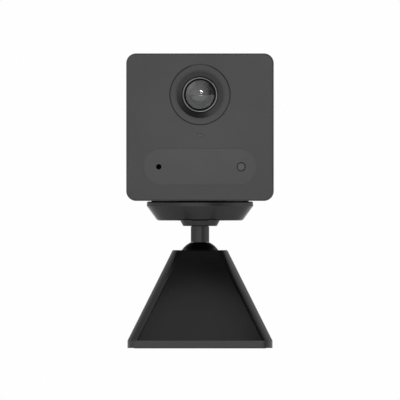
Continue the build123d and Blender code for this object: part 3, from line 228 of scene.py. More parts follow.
def fill_ramp(node, stops):
    ramp = node.color_ramp
    while len(ramp.elements) > 1:
        ramp.elements.remove(ramp.elements[-1])
    ramp.elements[0].position = stops[0][0]
    ramp.elements[0].color = stops[0][1]
    for position, colour in stops[1:]:
        ramp.elements.new(position).color = colour


def scaled_ramp(nodes, stops, peak):
    """A ramp holds colours up to 1, so its values are divided by the peak here."""
    node = nodes.new("ShaderNodeValToRGB")
    fill_ramp(node, [(position, grey(value / peak)) for position, value in stops])
    return node


def math_node(nodes, links, operation, first, second=None):
    node = nodes.new("ShaderNodeMath")
    node.operation = operation
    for socket, value in zip(node.inputs, (first, second)):
        if value is None:
            continue
        if isinstance(value, (int, float)):
            socket.default_value = value
        else:
            links.new(value, socket)
    return node.outputs["Value"]


def height_stops(pairs):
    """Angles above the horizon become places on a ramp that runs over the sine of the angle."""
    return [(0.5 + 0.5 * math.sin(math.radians(angle)), value) for angle, value in pairs]


def turn_stops(pairs):
    return [(0.5 + angle / 360.0, value) for angle, value in pairs]


def direction(turn, rise):
    """The unit vector that points to a turn and a height in the room, both in degrees."""
    turn, rise = math.radians(turn), math.radians(rise)
    return Vector(
        (math.sin(turn) * math.cos(rise), -math.cos(turn) * math.cos(rise), math.sin(rise))
    )


def make_world():
    world = bpy.data.worlds.new("studio_room")
    bpy.context.scene.world = world
    world.use_nodes = True
    nodes, links = world.node_tree.nodes, world.node_tree.links
    nodes.clear()
    coordinates = nodes.new("ShaderNodeTexCoord")
    split = nodes.new("ShaderNodeSeparateXYZ")
    links.new(coordinates.outputs["Generated"], split.inputs["Vector"])
    x, y, z = split.outputs["X"], split.outputs["Y"], split.outputs["Z"]
    rise = math_node(nodes, links, "MULTIPLY_ADD", z, 0.5)
    rise.node.inputs[2].default_value = 0.5
    toward_camera = math_node(nodes, links, "MULTIPLY", y, -1.0)
    turn = math_node(nodes, links, "ARCTAN2", x, toward_camera)
    turn = math_node(nodes, links, "MULTIPLY_ADD", turn, 0.5 / math.pi)
    turn.node.inputs[2].default_value = 0.5
    peak_height = max(value for angle, value in ROOM_BY_HEIGHT)
    peak_turn = max(value for angle, value in ROOM_BY_TURN)
    by_height = scaled_ramp(nodes, height_stops(ROOM_BY_HEIGHT), peak_height)
    by_turn = scaled_ramp(nodes, turn_stops(ROOM_BY_TURN), peak_turn)
    links.new(rise, by_height.inputs["Fac"])
    links.new(turn, by_turn.inputs["Fac"])
    light = math_node(
        nodes, links, "MULTIPLY", by_height.outputs["Color"], by_turn.outputs["Color"]
    )
    light = math_node(nodes, links, "MULTIPLY", light, peak_height * peak_turn)
    flag_height = scaled_ramp(nodes, height_stops(FLAG_BY_HEIGHT), 1.0)
    flag_turn = scaled_ramp(nodes, turn_stops(FLAG_BY_TURN), 1.0)
    links.new(rise, flag_height.inputs["Fac"])
    links.new(turn, flag_turn.inputs["Fac"])
    flag = math_node(
        nodes, links, "MULTIPLY", flag_height.outputs["Color"], flag_turn.outputs["Color"]
    )
    kept = math_node(nodes, links, "MULTIPLY_ADD", flag, -FLAG_DEPTH)
    kept.node.inputs[2].default_value = 1.0
    light = math_node(nodes, links, "MULTIPLY", light, kept)
    room = nodes.new("ShaderNodeBackground")
    room.inputs["Color"].default_value = grey(1.0)
    links.new(light, room.inputs["Strength"])
    backdrop = nodes.new("ShaderNodeBackground")
    backdrop.inputs["Color"].default_value = grey(BACKDROP)
    path = nodes.new("ShaderNodeLightPath")
    choose = nodes.new("ShaderNodeMixShader")
    links.new(path.outputs["Is Camera Ray"], choose.inputs["Fac"])
    links.new(room.outputs["Background"], choose.inputs[1])
    links.new(backdrop.outputs["Background"], choose.inputs[2])
    output = nodes.new("ShaderNodeOutputWorld")
    links.new(choose.outputs["Shader"], output.inputs["Surface"])
    return world


studio_room = make_world()
bpy.context.scene.view_settings.view_transform = "Standard"
bpy.context.scene.view_settings.look = "None"
print("room bands:", len(ROOM_BY_HEIGHT), "by height,", len(ROOM_BY_TURN), "by turn")

# %% [markdown]
# ## The lamps
#
# Three small lamps only show up in gloss, so they place highlights and leave the rest alone. The
# catch light makes the bright streak in the glass. The dome light lifts the glass on its upper
# left. The slope light hangs close in front of the base and gives the front slope a soft glow that
# fades upward.

# %% Hang the lamps
LENS_CENTRE = (0.0, 0.0, 92.9 * MM)
GLASS = (0.0, -26.0 * MM, LENS_CENTRE[2])
FRONT_SLOPE = (-2.0 * MM, -25.8 * MM, 5.0 * MM)


def make_lamp(name, target, turn, rise, distance, width, height, power, roll=0.0):
    """A small soft lamp that only shows up in gloss, off in a direction and facing the target."""
    data = bpy.data.lights.new(name, type="AREA")
    data.shape = "ELLIPSE"
    data.size, data.size_y = width, height
    data.energy = power
    lamp = bpy.data.objects.new(name, data)
    bpy.context.scene.collection.objects.link(lamp)
    offset = direction(turn, rise)
    lamp.location = Vector(target) + offset * distance
    facing = (-offset).to_track_quat("-Z", "Y")
    lamp.rotation_euler = (facing @ Quaternion((0.0, 0.0, 1.0), math.radians(roll))).to_euler()
    lamp.visible_camera = False
    lamp.visible_diffuse = False
    return lamp


catch_light = make_lamp(
    "catch_light",
    target=GLASS,
    turn=4.5,
    rise=10.0,
    distance=0.7,
    width=0.12,
    height=0.036,
    power=0.28,
    roll=-32.0,
)
dome_light = make_lamp(
    "dome_light",
    target=GLASS,
    turn=-36.0,
    rise=30.0,
    distance=0.8,
    width=0.50,
    height=0.50,
    power=0.30,
)
slope_light = make_lamp(
    "slope_light",
    target=FRONT_SLOPE,
    turn=0.0,
    rise=53.0,
    distance=0.095,
    width=0.046,
    height=0.038,
    power=0.0021,
)
print("lamps:", catch_light.name, dome_light.name, slope_light.name)

# %% [markdown]
# ## Finishes
#
# A moulded plastic shell is never one flat colour. The steel mould was spark-eroded, which leaves
# a fine grain; handling polishes it a little in soft patches; and the colour drifts by a few
# percent. Each finish below starts from one helper that adds those three things as noise on object
# coordinates, so the pattern stays on the piece when it moves. Turned parts get fine rings instead
# of grain. All sizes and depths are in metres.

# %% Helpers for finishes


class Finish:
    """A Principled shader with named, reusable layers."""

    def __init__(self, name, colour, roughness, metallic=0.0, specular=0.5):
        self.material = bpy.data.materials.new(name)
        self.material.use_nodes = True
        tree = self.material.node_tree
        self.nodes, self.links = tree.nodes, tree.links
        self.shader = self.nodes["Principled BSDF"]
        self.colour, self.roughness = colour, roughness
        self.last_normal = None
        self.shader.inputs["Base Color"].default_value = (*colour, 1.0)
        self.shader.inputs["Roughness"].default_value = roughness
        self.shader.inputs["Metallic"].default_value = metallic
        self.shader.inputs["Specular IOR Level"].default_value = specular
        self.place = self.nodes.new("ShaderNodeTexCoord").outputs["Object"]

    def noise(self, size, detail=2.0):
        """Noise whose lumps are about size metres across."""
        texture = self.nodes.new("ShaderNodeTexNoise")
        texture.inputs["Scale"].default_value = 1.0 / size
        texture.inputs["Detail"].default_value = detail
        self.links.new(self.place, texture.inputs["Vector"])
        return texture.outputs["Fac"]

    def ramp(self, factor, stops):
        node = self.nodes.new("ShaderNodeValToRGB")
        fill_ramp(node, stops)
        self.links.new(factor, node.inputs["Fac"])
        return node.outputs["Color"]

    def drift(self, size=0.02, amount=0.06):
        """Lets the colour drift by a share of itself."""
        low = [channel * (1.0 - amount) for channel in self.colour]
        high = [channel * (1.0 + amount) for channel in self.colour]
        patches = self.ramp(
            self.noise(size, detail=3.0), [(0.32, (*low, 1.0)), (0.68, (*high, 1.0))]
        )
        self.links.new(patches, self.shader.inputs["Base Color"])
        return self

    def handling(self, size=0.012, amount=0.06):
        """Lets the roughness vary in soft patches, as touched plastic does."""
        spread = self.nodes.new("ShaderNodeMapRange")
        spread.inputs["From Min"].default_value = 0.3
        spread.inputs["From Max"].default_value = 0.7
        spread.inputs["To Min"].default_value = max(self.roughness - amount, 0.02)
        spread.inputs["To Max"].default_value = self.roughness + amount
        self.links.new(self.noise(size, detail=4.0), spread.inputs["Value"])
        self.links.new(spread.outputs["Result"], self.shader.inputs["Roughness"])
        return self

    def bump(self, height, depth):
        """Adds a relief of the given depth in metres on top of the ones before it."""
        node = self.nodes.new("ShaderNodeBump")
        node.inputs["Strength"].default_value = 1.0
        node.inputs["Distance"].default_value = depth
        self.links.new(height, node.inputs["Height"])
        if self.last_normal is not None:
            self.links.new(self.last_normal, node.inputs["Normal"])
        self.last_normal = node.outputs["Normal"]
        self.links.new(self.last_normal, self.shader.inputs["Normal"])
        return self

    def grain(self, size=0.00022, depth=0.000006):
        """The fine grain of a spark-eroded mould, or of a blasted metal."""
        return self.bump(self.noise(size, detail=1.0), depth)

    def turned(self, centre, axis, pitch=0.00025, depth=0.000002):
        """Fine lathe rings round an axis that passes through centre."""
        mapping = self.nodes.new("ShaderNodeMapping")
        mapping.vector_type = "POINT"
        mapping.inputs["Location"].default_value = tuple(-c for c in centre)
        self.links.new(self.place, mapping.inputs["Vector"])
        flatten = self.nodes.new("ShaderNodeVectorMath")
        flatten.operation = "MULTIPLY"
        flatten.inputs[1].default_value = tuple(0.0 if a else 1.0 for a in axis)
        self.links.new(mapping.outputs["Vector"], flatten.inputs[0])
        length = self.nodes.new("ShaderNodeVectorMath")
        length.operation = "LENGTH"
        self.links.new(flatten.outputs["Vector"], length.inputs[0])
        waves = math_node(
            self.nodes, self.links, "MULTIPLY", length.outputs["Value"], 2.0 * math.pi / pitch
        )
        return self.bump(math_node(self.nodes, self.links, "SINE", waves), depth)


def wear(node_name, finish):
    """Gives a CAD node its finish in every one of its material slots."""
    piece = frame["nodes"][node_name]
    if not piece.data.materials:
        piece.data.materials.append(finish.material)
    for index in range(len(piece.data.materials)):
        piece.data.materials[index] = finish.material


finished_nodes = {}


def dress(finish, *node_names):
    for node_name in node_names:
        wear(node_name, finish)
        finished_nodes[node_name] = finish.material.name


print("finish helpers ready")

# %% [markdown]
# ### The shell and the stand
#
# Head and stand are moulded in the same dark grey, but the stand is a shade darker. Both have a
# fine even grain that breaks up reflections without sparkling. The lens ring is the same plastic,
# and its face shows faint rings from the turned mould insert.

# %% Shell plastics
shell_plastic = Finish("shell_plastic", (0.0215, 0.0215, 0.022), 0.40)
shell_plastic.drift(0.018, 0.035).handling(0.014, 0.03).grain(0.00026, 0.000005)
dress(shell_plastic, "front_panel", "housing", "rear_cover", "power_button")

stand_plastic = Finish("stand_plastic", (0.0028, 0.0028, 0.0030), 0.19, specular=0.60)
stand_plastic.drift(0.02, 0.05).handling(0.016, 0.03).grain(0.00026, 0.000005)
dress(stand_plastic, "pyramid_shell")

ring_plastic = Finish("ring_plastic", (0.012, 0.012, 0.0125), 0.36)
ring_plastic.drift(0.010, 0.03).turned(LENS_CENTRE, (0, 1, 0), 0.00030, 0.0000015)
dress(ring_plastic, "lens_bezel")

hood_plastic = Finish("hood_plastic", (0.005, 0.005, 0.005), 0.30)
hood_plastic.drift(0.008, 0.06).turned(LENS_CENTRE, (0, 1, 0), 0.00035, 0.000003)
dress(hood_plastic, "lens_hood")

window_plastic = Finish("window_plastic", (0.029, 0.029, 0.030), 0.37)
window_plastic.drift(0.016, 0.03).handling(0.010, 0.03).grain(0.00018, 0.000002)
dress(window_plastic, "infrared_window")
print("shell finishes on", len(finished_nodes), "nodes")

# %% [markdown]
# ### Ball, stem and plate
#
# The ball is hard and black with a soft shine. Stem, collar and plate are turned aluminium, dark
# anodised and finely blasted, so they mirror the room in long soft streaks.

# %% Ball and turned metal
ball_black = Finish("ball_black", (0.0015, 0.0015, 0.0015), 0.30, specular=0.22)
ball_black.drift(0.004, 0.10).handling(0.006, 0.05).grain(0.0003, 0.000002)
dress(ball_black, "ball")

dark_anodised = Finish("dark_anodised", (0.043, 0.043, 0.044), 0.20, metallic=1.0)
dark_anodised.shader.inputs["Specular Tint"].default_value = grey(0.64)
dark_anodised.drift(0.012, 0.04).handling(0.008, 0.03)
dark_anodised.turned((0, 0, 0), (0, 0, 1), 0.00020, 0.0000008)
dress(dark_anodised, "stem", "collar_nut", "mount_plate")
print("ball and turned metal ready")

# %% [markdown]
# ### The lens
#
# The barrel is black inside, so that stray light dies there. The bright ring is dark chrome. Each
# glass is coated against reflections, and the coating gives what it still mirrors a colour of its
# own. The front glass mirrors more than the others and lets little light back out. Its grey colour
# is partly painted reflection: the small share of it that is not clear is a faint grey veil, which
# stands in for the light that the glasses inside it mirror.

# %% Lens metals and glass
barrel_black = Finish("barrel_black", (0.003, 0.003, 0.003), 0.50, specular=0.10)
barrel_black.drift(0.003, 0.08).turned(LENS_CENTRE, (0, 1, 0), 0.00022, 0.000003)
dress(barrel_black, "lens_barrel")

trim_chrome = Finish("trim_chrome", (0.125, 0.125, 0.13), 0.17, metallic=1.0)
trim_chrome.drift(0.004, 0.05).turned(LENS_CENTRE, (0, 1, 0), 0.00012, 0.0000006)
dress(trim_chrome, "lens_trim_ring")


def make_glass(name, tint, coat_tint, index=1.52, clear=1.0):
    finish = Finish(name, tint, 0.02)
    finish.shader.inputs["Transmission Weight"].default_value = clear
    finish.shader.inputs["IOR"].default_value = index
    finish.shader.inputs["Specular Tint"].default_value = (*coat_tint, 1.0)
    finish.drift(0.006, 0.02)
    return finish


# The front glass is not quite clear: its grey, non-clear share is a painted reflection that stands
# in for the light mirrored inside the lens.
front_glass = make_glass("front_glass", (0.165, 0.168, 0.175), (1.0, 1.0, 1.0), 1.74, clear=0.95)
dress(front_glass, "front_lens")
inner_glass = make_glass("inner_glass", (0.72, 0.78, 0.84), (0.6, 0.75, 1.0))
dress(inner_glass, "inner_lenses")
filter_glass = make_glass("filter_glass", (0.35, 0.62, 0.78), (1.0, 0.5, 0.45))
dress(filter_glass, "infrared_cut_glass")
plain_glass = make_glass("plain_glass", (0.85, 0.88, 0.88), (1.0, 1.0, 1.0))
dress(plain_glass, "clear_glass")
print("lens finishes ready")

# %% [markdown]
# ### Rubber, steel and what is inside
#
# The foot and the flap are black rubber, which is rough and almost without gloss. Screws, weight
# and springs are zinc plated. The pieces inside are seldom seen, but the model can be taken apart,
# so each one still gets the surface that it really has.

# %% Rubber, foam and plated steel
soft_rubber = Finish("soft_rubber", (0.018, 0.018, 0.019), 0.72, specular=0.35)
soft_rubber.drift(0.010, 0.10).handling(0.010, 0.06).grain(0.00030, 0.000010)
dress(soft_rubber, "foot_pad", "plate_pad", "port_flap")

seal_foam = Finish("seal_foam", (0.030, 0.030, 0.032), 0.90, specular=0.2)
seal_foam.drift(0.002, 0.25).grain(0.00045, 0.00008)
dress(seal_foam, "sound_gaskets")

zinc_steel = Finish("zinc_steel", (0.42, 0.42, 0.43), 0.30, metallic=1.0)
zinc_steel.drift(0.005, 0.10).handling(0.004, 0.08).grain(0.0004, 0.000003)
dress(
    zinc_steel,
    "stem_screw",
    "disc_springs",
    "base_plate",
    "base_screws",
    "ballast_plate",
    "board_screws",
    "flap_pin",
)

black_screw = Finish("black_screw", (0.035, 0.035, 0.036), 0.33, metallic=1.0)
black_screw.drift(0.002, 0.12).handling(0.002, 0.06).grain(0.0002, 0.000002)
dress(black_screw, "rear_cover_screws")

nickel = Finish("nickel", (0.55, 0.53, 0.49), 0.16, metallic=1.0)
nickel.drift(0.006, 0.05).handling(0.005, 0.05).grain(0.0005, 0.000001)
dress(nickel, "base_magnet", "filter_rotor")

turned_brass = Finish("turned_brass", (0.60, 0.42, 0.18), 0.26, metallic=1.0)
turned_brass.drift(0.004, 0.08).turned((0, 0, 0), (0, 0, 1), 0.0003, 0.000003)
dress(turned_brass, "thread_insert")

tin_plate = Finish("tin_plate", (0.52, 0.52, 0.51), 0.28, metallic=1.0)
tin_plate.drift(0.003, 0.08).handling(0.003, 0.08).grain(0.0003, 0.000002)
dress(
    tin_plate,
    "shield_cans",
    "usb_socket",
    "card_socket",
    "motion_sensor",
    "microphone",
    "speaker_frame",
)
print("finishes so far on", len(finished_nodes), "nodes")

# %% [markdown]
# ### Inner plastics, lamps and the battery
#
# Sliding parts are white acetal, because it needs no oil. Parts near the sensor are black, and
# rough enough not to shine into it. The status light comes out through a clear pipe. Its colour
# is painted darker above its lower lip, as painted shade where it lies deep, and lighter below, as
# a painted highlight on the lip. The battery is a foil pouch with a slightly uneven surface.

# %% Inner plastics
SPEAKER_CENTRE = (0, 0, 92.0 * MM)
MOTION_LENS_CENTRE = (15.1 * MM, 0, 66.5 * MM)
white_acetal = Finish("white_acetal", (0.68, 0.67, 0.63), 0.38)
white_acetal.drift(0.004, 0.04).handling(0.004, 0.06).grain(0.0003, 0.000002)
dress(white_acetal, "ball_cup", "socket_plug", "filter_carrier", "reset_plunger")

inner_black = Finish("inner_black", (0.016, 0.016, 0.017), 0.55)
inner_black.drift(0.006, 0.10).handling(0.006, 0.06).grain(0.00030, 0.000008)
dress(inner_black, "lens_holder", "sensor_shroud", "inner_frame", "filter_coil", "key_switches")

chip_black = Finish("chip_black", (0.014, 0.015, 0.017), 0.30)
chip_black.drift(0.002, 0.15).grain(0.00015, 0.000003)
dress(chip_black, "image_sensor")

cone_film = Finish("cone_film", (0.060, 0.060, 0.062), 0.48)
cone_film.drift(0.002, 0.10).turned(SPEAKER_CENTRE, (0, 1, 0), 0.0009, 0.00002)
dress(cone_film, "speaker_cone")

lamp_epoxy = Finish("lamp_epoxy", (0.10, 0.085, 0.10), 0.08)
lamp_epoxy.shader.inputs["Coat Weight"].default_value = 0.6
lamp_epoxy.drift(0.001, 0.20).handling(0.002, 0.03)
dress(lamp_epoxy, "front_lamps")

light_pipe = Finish("light_pipe", (0.034, 0.034, 0.036), 0.30)
light_pipe.grain(0.00012, 0.000003)
# The pipe's colour is painted in two greys: dark above its lower lip, as painted shade where the
# pipe lies deep, and light below it, as a painted highlight on the lip.
PIPE_LIP_BELOW_MIDDLE = 0.27 * MM
PIPE_LIP_Z = sum(corner.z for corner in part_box("status_light_pipe")) / 2 - PIPE_LIP_BELOW_MIDDLE
PIPE_FADE = 0.12 * MM
PIPE_SHADED, PIPE_LIT = 0.012, 0.115


def shade_by_height(finish, middle_z, fade, above, below):
    """Fades the colour from one grey below a height to another above it."""
    split = finish.nodes.new("ShaderNodeSeparateXYZ")
    finish.links.new(finish.place, split.inputs["Vector"])
    step = finish.nodes.new("ShaderNodeMapRange")
    step.inputs["From Min"].default_value = middle_z - fade
    step.inputs["From Max"].default_value = middle_z + fade
    finish.links.new(split.outputs["Z"], step.inputs["Value"])
    ramp = finish.nodes.new("ShaderNodeValToRGB")
    ramp.color_ramp.elements[0].color = grey(below)
    ramp.color_ramp.elements[1].color = grey(above)
    finish.links.new(step.outputs["Result"], ramp.inputs["Fac"])
    finish.links.new(ramp.outputs["Color"], finish.shader.inputs["Base Color"])


shade_by_height(light_pipe, PIPE_LIP_Z, PIPE_FADE, PIPE_SHADED, PIPE_LIT)
dress(light_pipe, "status_light_pipe")

motion_window = Finish("motion_window", (0.044, 0.044, 0.046), 0.30)
motion_window.drift(0.001, 0.06).turned(MOTION_LENS_CENTRE, (0, 1, 0), 0.0004, 0.000004)
dress(motion_window, "motion_lens")

battery_foil = Finish("battery_foil", (0.50, 0.51, 0.53), 0.34, metallic=1.0)
battery_foil.drift(0.008, 0.06).bump(battery_foil.noise(0.003, 3.0), 0.00006)
dress(battery_foil, "battery_pouch")

wire_skin = Finish("wire_skin", (0.30, 0.02, 0.02), 0.42)
wire_skin.drift(0.002, 0.10).grain(0.0004, 0.000004)
dress(wire_skin, "battery_lead")
print("finishes so far on", len(finished_nodes), "nodes")

# %% [markdown]
# ### Circuit boards
#
# A circuit board is copper tracks under coloured solder mask. A brick pattern gives the tracks:
# its mortar lines are a little lighter than the mask and stand up by a hair.

# %% Circuit boards and flat cable
TRACKS_PER_METRE, TRACK_WIDTH, TRACK_HEIGHT = 260.0, 0.06, 0.00003
SECOND_MASK_TONE = 1.15


def make_board(name, mask, trace):
    """Solder mask over copper: the tracks show as lines that are slightly lighter and higher."""
    finish = Finish(name, mask, 0.30)
    tracks = finish.nodes.new("ShaderNodeTexBrick")
    tracks.inputs["Scale"].default_value = TRACKS_PER_METRE
    tracks.inputs["Mortar Size"].default_value = TRACK_WIDTH
    tracks.inputs["Color1"].default_value = (*mask, 1.0)
    tracks.inputs["Color2"].default_value = (*[channel * SECOND_MASK_TONE for channel in mask], 1.0)
    tracks.inputs["Mortar"].default_value = (*trace, 1.0)
    finish.links.new(finish.place, tracks.inputs["Vector"])
    finish.links.new(tracks.outputs["Color"], finish.shader.inputs["Base Color"])
    finish.bump(tracks.outputs["Fac"], TRACK_HEIGHT)
    finish.handling(0.004, 0.05)
    return finish


green_board = make_board("green_board", (0.012, 0.075, 0.036), (0.03, 0.16, 0.08))
dress(green_board, "sensor_board", "front_board", "main_board", "button_board")
flex_film = make_board("flex_film", (0.42, 0.17, 0.025), (0.50, 0.26, 0.06))
dress(flex_film, "sensor_flex")
print("finishes so far on", len(finished_nodes), "nodes")

# %% [markdown]
# ## Rubber, mesh and cloth
#
# The CAD model holds the soft parts as plain solids, so that they have the right size and weight.
# Here each one is modelled as it is really moulded, in the same place, and stands for its CAD
# solid. Every piece starts as a primitive at its real size. It is then shaped in edit mode, with
# edges and faces picked by where they are, because a script can't click on them.

# %% Helpers for modelling
ALONG_ENOUGH = 0.9
FACES_STRAIGHT = 0.99
TOUCH = 0.01 * MM
SMOOTH_ANGLE = 35.0
MERGE_DISTANCE = 0.000001


def start_piece(name):
    """Names the primitive that was just added and applies its place, turn and scale."""
    piece = bpy.context.object
    piece.name = name
    piece.data.name = name
    bpy.ops.object.transform_apply(location=True, rotation=True, scale=True)
    return piece


def add_block(name, low, high):
    """A box between two corners."""
    bpy.ops.object.select_all(action="DESELECT")
    low, high = Vector(low), Vector(high)
    bpy.ops.mesh.primitive_cube_add(size=1.0, location=(low + high) / 2, scale=high - low)
    return start_piece(name)


def add_rod(name, start, end, radius, sides=48):
    """A cylinder between the middles of its two ends."""
    bpy.ops.object.select_all(action="DESELECT")
    start, end = Vector(start), Vector(end)
    along = end - start
    bpy.ops.mesh.primitive_cylinder_add(
        vertices=sides,
        radius=radius,
        depth=along.length,
        location=(start + end) / 2,
        rotation=along.to_track_quat("Z", "Y").to_euler(),
    )
    return start_piece(name)


def edit(piece, kind):
    """Opens a piece in edit mode with nothing selected, in vertex, edge or face mode."""
    bpy.ops.object.select_all(action="DESELECT")
    piece.select_set(True)
    bpy.context.view_layer.objects.active = piece
    bpy.ops.object.mode_set(mode="EDIT")
    bpy.ops.mesh.select_mode(type=kind)
    bpy.ops.mesh.select_all(action="DESELECT")


def pick_edges(piece, wanted):
    """Selects the edges whose middle and direction the rule accepts."""
    mesh = bmesh.from_edit_mesh(piece.data)
    for edge in mesh.edges:
        first, second = (vertex.co for vertex in edge.verts)
        if wanted((first + second) / 2, (second - first).normalized()):
            edge.select = True
    bmesh.update_edit_mesh(piece.data)


def pick_faces(piece, wanted):
    """Selects the faces whose middle and normal the rule accepts."""
    mesh = bmesh.from_edit_mesh(piece.data)
    mesh.normal_update()
    for face in mesh.faces:
        if wanted(face.calc_center_median(), face.normal):
            face.select = True
    bmesh.update_edit_mesh(piece.data)


def round_edges(piece, wanted, radius, segments=4):
    """Bevels the edges that the rule accepts."""
    edit(piece, "EDGE")
    pick_edges(piece, wanted)
    bpy.ops.mesh.bevel(offset=radius, segments=segments, affect="EDGES", clamp_overlap=True)
    bpy.ops.object.mode_set(mode="OBJECT")


def runs_along(axis):
    """A rule for edges that run along one axis."""
    return lambda middle, along: abs(getattr(along, axis)) > ALONG_ENOUGH


def join_pieces(name, pieces):
    bpy.ops.object.select_all(action="DESELECT")
    for piece in pieces:
        piece.select_set(True)
    bpy.context.view_layer.objects.active = pieces[0]
    bpy.ops.object.join()
    pieces[0].name = name
    return pieces[0]


def combine(piece, other, operation, solver="EXACT"):
    """Adds or takes away another solid with a Boolean modifier, and applies it."""
    modifier = piece.modifiers.new("combine", "BOOLEAN")
    modifier.operation = operation
    modifier.object = other
    modifier.solver = solver
    bpy.ops.object.select_all(action="DESELECT")
    piece.select_set(True)
    bpy.context.view_layer.objects.active = piece
    bpy.ops.object.modifier_apply(modifier=modifier.name)
    bpy.data.objects.remove(other)


def smooth(piece):
    bpy.ops.object.select_all(action="DESELECT")
    piece.select_set(True)
    bpy.context.view_layer.objects.active = piece
    bpy.ops.object.shade_smooth_by_angle(angle=math.radians(SMOOTH_ANGLE))


def hand_over(piece, finish, node, slot, *replaced):
    """Dresses a finished piece; it moves with the CAD node named and may stand for some nodes."""
    body = frame["nodes"][node]["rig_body"]
    smooth(piece)
    piece.data.materials.clear()
    piece.data.materials.append(finish.material)
    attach(piece, body)
    if replaced:
        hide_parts(*replaced)
    triangles = sum(len(polygon.vertices) - 2 for polygon in piece.data.polygons)
    print(piece.name, "has", triangles, "triangles and rides on", body)


def add_ring(name, centre, axis, inner, outer, low, high, corner, steps=96):
    """A flat ring with rounded corners: a small rectangle is bevelled, then spun round its axis."""
    bpy.ops.object.select_all(action="DESELECT")
    bpy.ops.mesh.primitive_plane_add(
        size=outer - inner,
        location=((inner + outer) / 2, 0.0, (low + high) / 2),
        rotation=(math.radians(90.0), 0.0, 0.0),
    )
    ring = start_piece(name)
    edit(ring, "VERT")
    bpy.ops.mesh.select_all(action="SELECT")
    bpy.ops.transform.resize(
        value=(1.0, 1.0, (high - low) / (outer - inner)),
        center_override=((inner + outer) / 2, 0.0, (low + high) / 2),
    )
    bpy.ops.mesh.bevel(offset=corner, segments=3, affect="VERTICES")
    bpy.ops.mesh.select_all(action="SELECT")
    bpy.ops.mesh.delete(type="ONLY_FACE")
    bpy.ops.mesh.select_all(action="SELECT")
    bpy.ops.mesh.spin(steps=steps, angle=math.radians(360.0), center=(0, 0, 0), axis=(0, 0, 1))
    bpy.ops.mesh.select_all(action="SELECT")
    bpy.ops.mesh.remove_doubles(threshold=MERGE_DISTANCE)
    bpy.ops.mesh.normals_make_consistent(inside=False)
    bpy.ops.object.mode_set(mode="OBJECT")
    if axis == "Y":
        ring.rotation_euler = (math.radians(-90.0), 0.0, 0.0)
    ring.location = centre
    bpy.ops.object.transform_apply(location=True, rotation=True, scale=True)
    return ring


print("modelling helpers ready")

# %% [markdown]
# ### The flap over the ports
#
# The flap is one rubber moulding: a plate with rounded corners and a shallow tray, two ribs to
# pull it by, a rolled hinge at the bottom, and two plugs behind it that press into the sockets. A
# block is bevelled twice, once for the corners and once for the soft rim, and the tray is an inset
# that is pushed in. The hinge is a rod that is added to the plate and then drilled for its pin.
# The two lower corners are cut back, so that they clear the cover when the flap swings down.

# %% Model the flap
flap_low, flap_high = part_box("port_flap")
pin_low, pin_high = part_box("flap_pin")
pin_middle = (pin_low + pin_high) / 2
FLAP_THICKNESS = 1.3 * MM
FLAP_CORNER = 2.1 * MM
FLAP_RIM = 0.40 * MM
TRAY_MARGIN = 1.5 * MM
TRAY_DEPTH = 0.22 * MM
TRAY_WALL = 0.3 * MM
RIB_LENGTH, RIB_WIDTH, RIB_PITCH = 9.0 * MM, 0.45 * MM, 1.1 * MM
RIB_FROM_TRAY_TOP, RIB_BELOW_RIM, RIB_EDGE = 0.9 * MM, 0.02 * MM, 0.14 * MM
# For each socket: how much narrower its plug is at each end, and half the plug's height.
PLUGS = (("usb_socket", 0.6 * MM, 1.23 * MM), ("card_socket", 1.8 * MM, 0.45 * MM))
PLUG_OVERLAP, PLUG_EDGE, PLUG_ROUNDING = 0.2 * MM, 0.15 * MM, 0.9
HINGE_RADIUS = 0.74 * MM
HINGE_EDGE = 0.12 * MM
PIN_HOLE_RADIUS = 0.39 * MM
NOTCH_FROM_MIDDLE = 13.0 * MM
NOTCH_TOP_Z = 60.95 * MM


def make_flap():
    front = flap_high.y
    back = front - FLAP_THICKNESS
    bottom = pin_middle.z
    flap = add_block("rubber_flap", (flap_low.x, back, bottom), (flap_high.x, front, flap_high.z))
    round_edges(flap, runs_along("y"), FLAP_CORNER, 8)
    round_edges(flap, lambda middle, along: middle.y > front - 10 * TOUCH, FLAP_RIM, 4)
    edit(flap, "FACE")
    pick_faces(flap, lambda middle, normal: normal.y > FACES_STRAIGHT and middle.y > front - TOUCH)
    bpy.ops.mesh.inset(thickness=TRAY_MARGIN - FLAP_RIM)
    bpy.ops.mesh.inset(thickness=TRAY_WALL, depth=-TRAY_DEPTH)
    bpy.ops.object.mode_set(mode="OBJECT")
    return flap


def copy_piece(piece, name, shift):
    """A second piece with a mesh of its own, moved by shift."""
    bpy.ops.object.select_all(action="DESELECT")
    piece.select_set(True)
    bpy.context.view_layer.objects.active = piece
    bpy.ops.object.duplicate()
    copy = bpy.context.object
    copy.location = Vector(shift)
    return start_piece(name)


def make_flap_ribs():
    """Pull ribs that stand in the tray, nearly as high as the rim. The second copies the first."""
    middle_x = (flap_low.x + flap_high.x) / 2
    top = flap_high.z - TRAY_MARGIN - RIB_FROM_TRAY_TOP
    rib = add_block(
        "pull_rib_0",
        (middle_x - RIB_LENGTH / 2, flap_high.y - 2 * TRAY_DEPTH, top - RIB_WIDTH / 2),
        (middle_x + RIB_LENGTH / 2, flap_high.y - RIB_BELOW_RIM, top + RIB_WIDTH / 2),
    )
    round_edges(rib, lambda middle, along: middle.y > flap_high.y - TRAY_DEPTH, RIB_EDGE, 3)
    return [rib, copy_piece(rib, "pull_rib_1", (0.0, 0.0, -RIB_PITCH))]


def make_flap_plugs():
    """Rubber plugs that fit the charging socket and the card slot."""
    back = flap_high.y - FLAP_THICKNESS
    plugs = []
    for socket, trim_x, half_z in PLUGS:
        low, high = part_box(socket)
        middle_z = (low.z + high.z) / 2
        plug = add_block(
            socket + "_plug",
            (low.x + trim_x, flap_low.y, middle_z - half_z),
            (high.x - trim_x, back + PLUG_OVERLAP, middle_z + half_z),
        )
        round_edges(plug, runs_along("y"), PLUG_ROUNDING * half_z, 5)
        round_edges(plug, lambda middle, along: middle.y < flap_low.y + TOUCH, PLUG_EDGE, 2)
        plugs.append(plug)
    return plugs


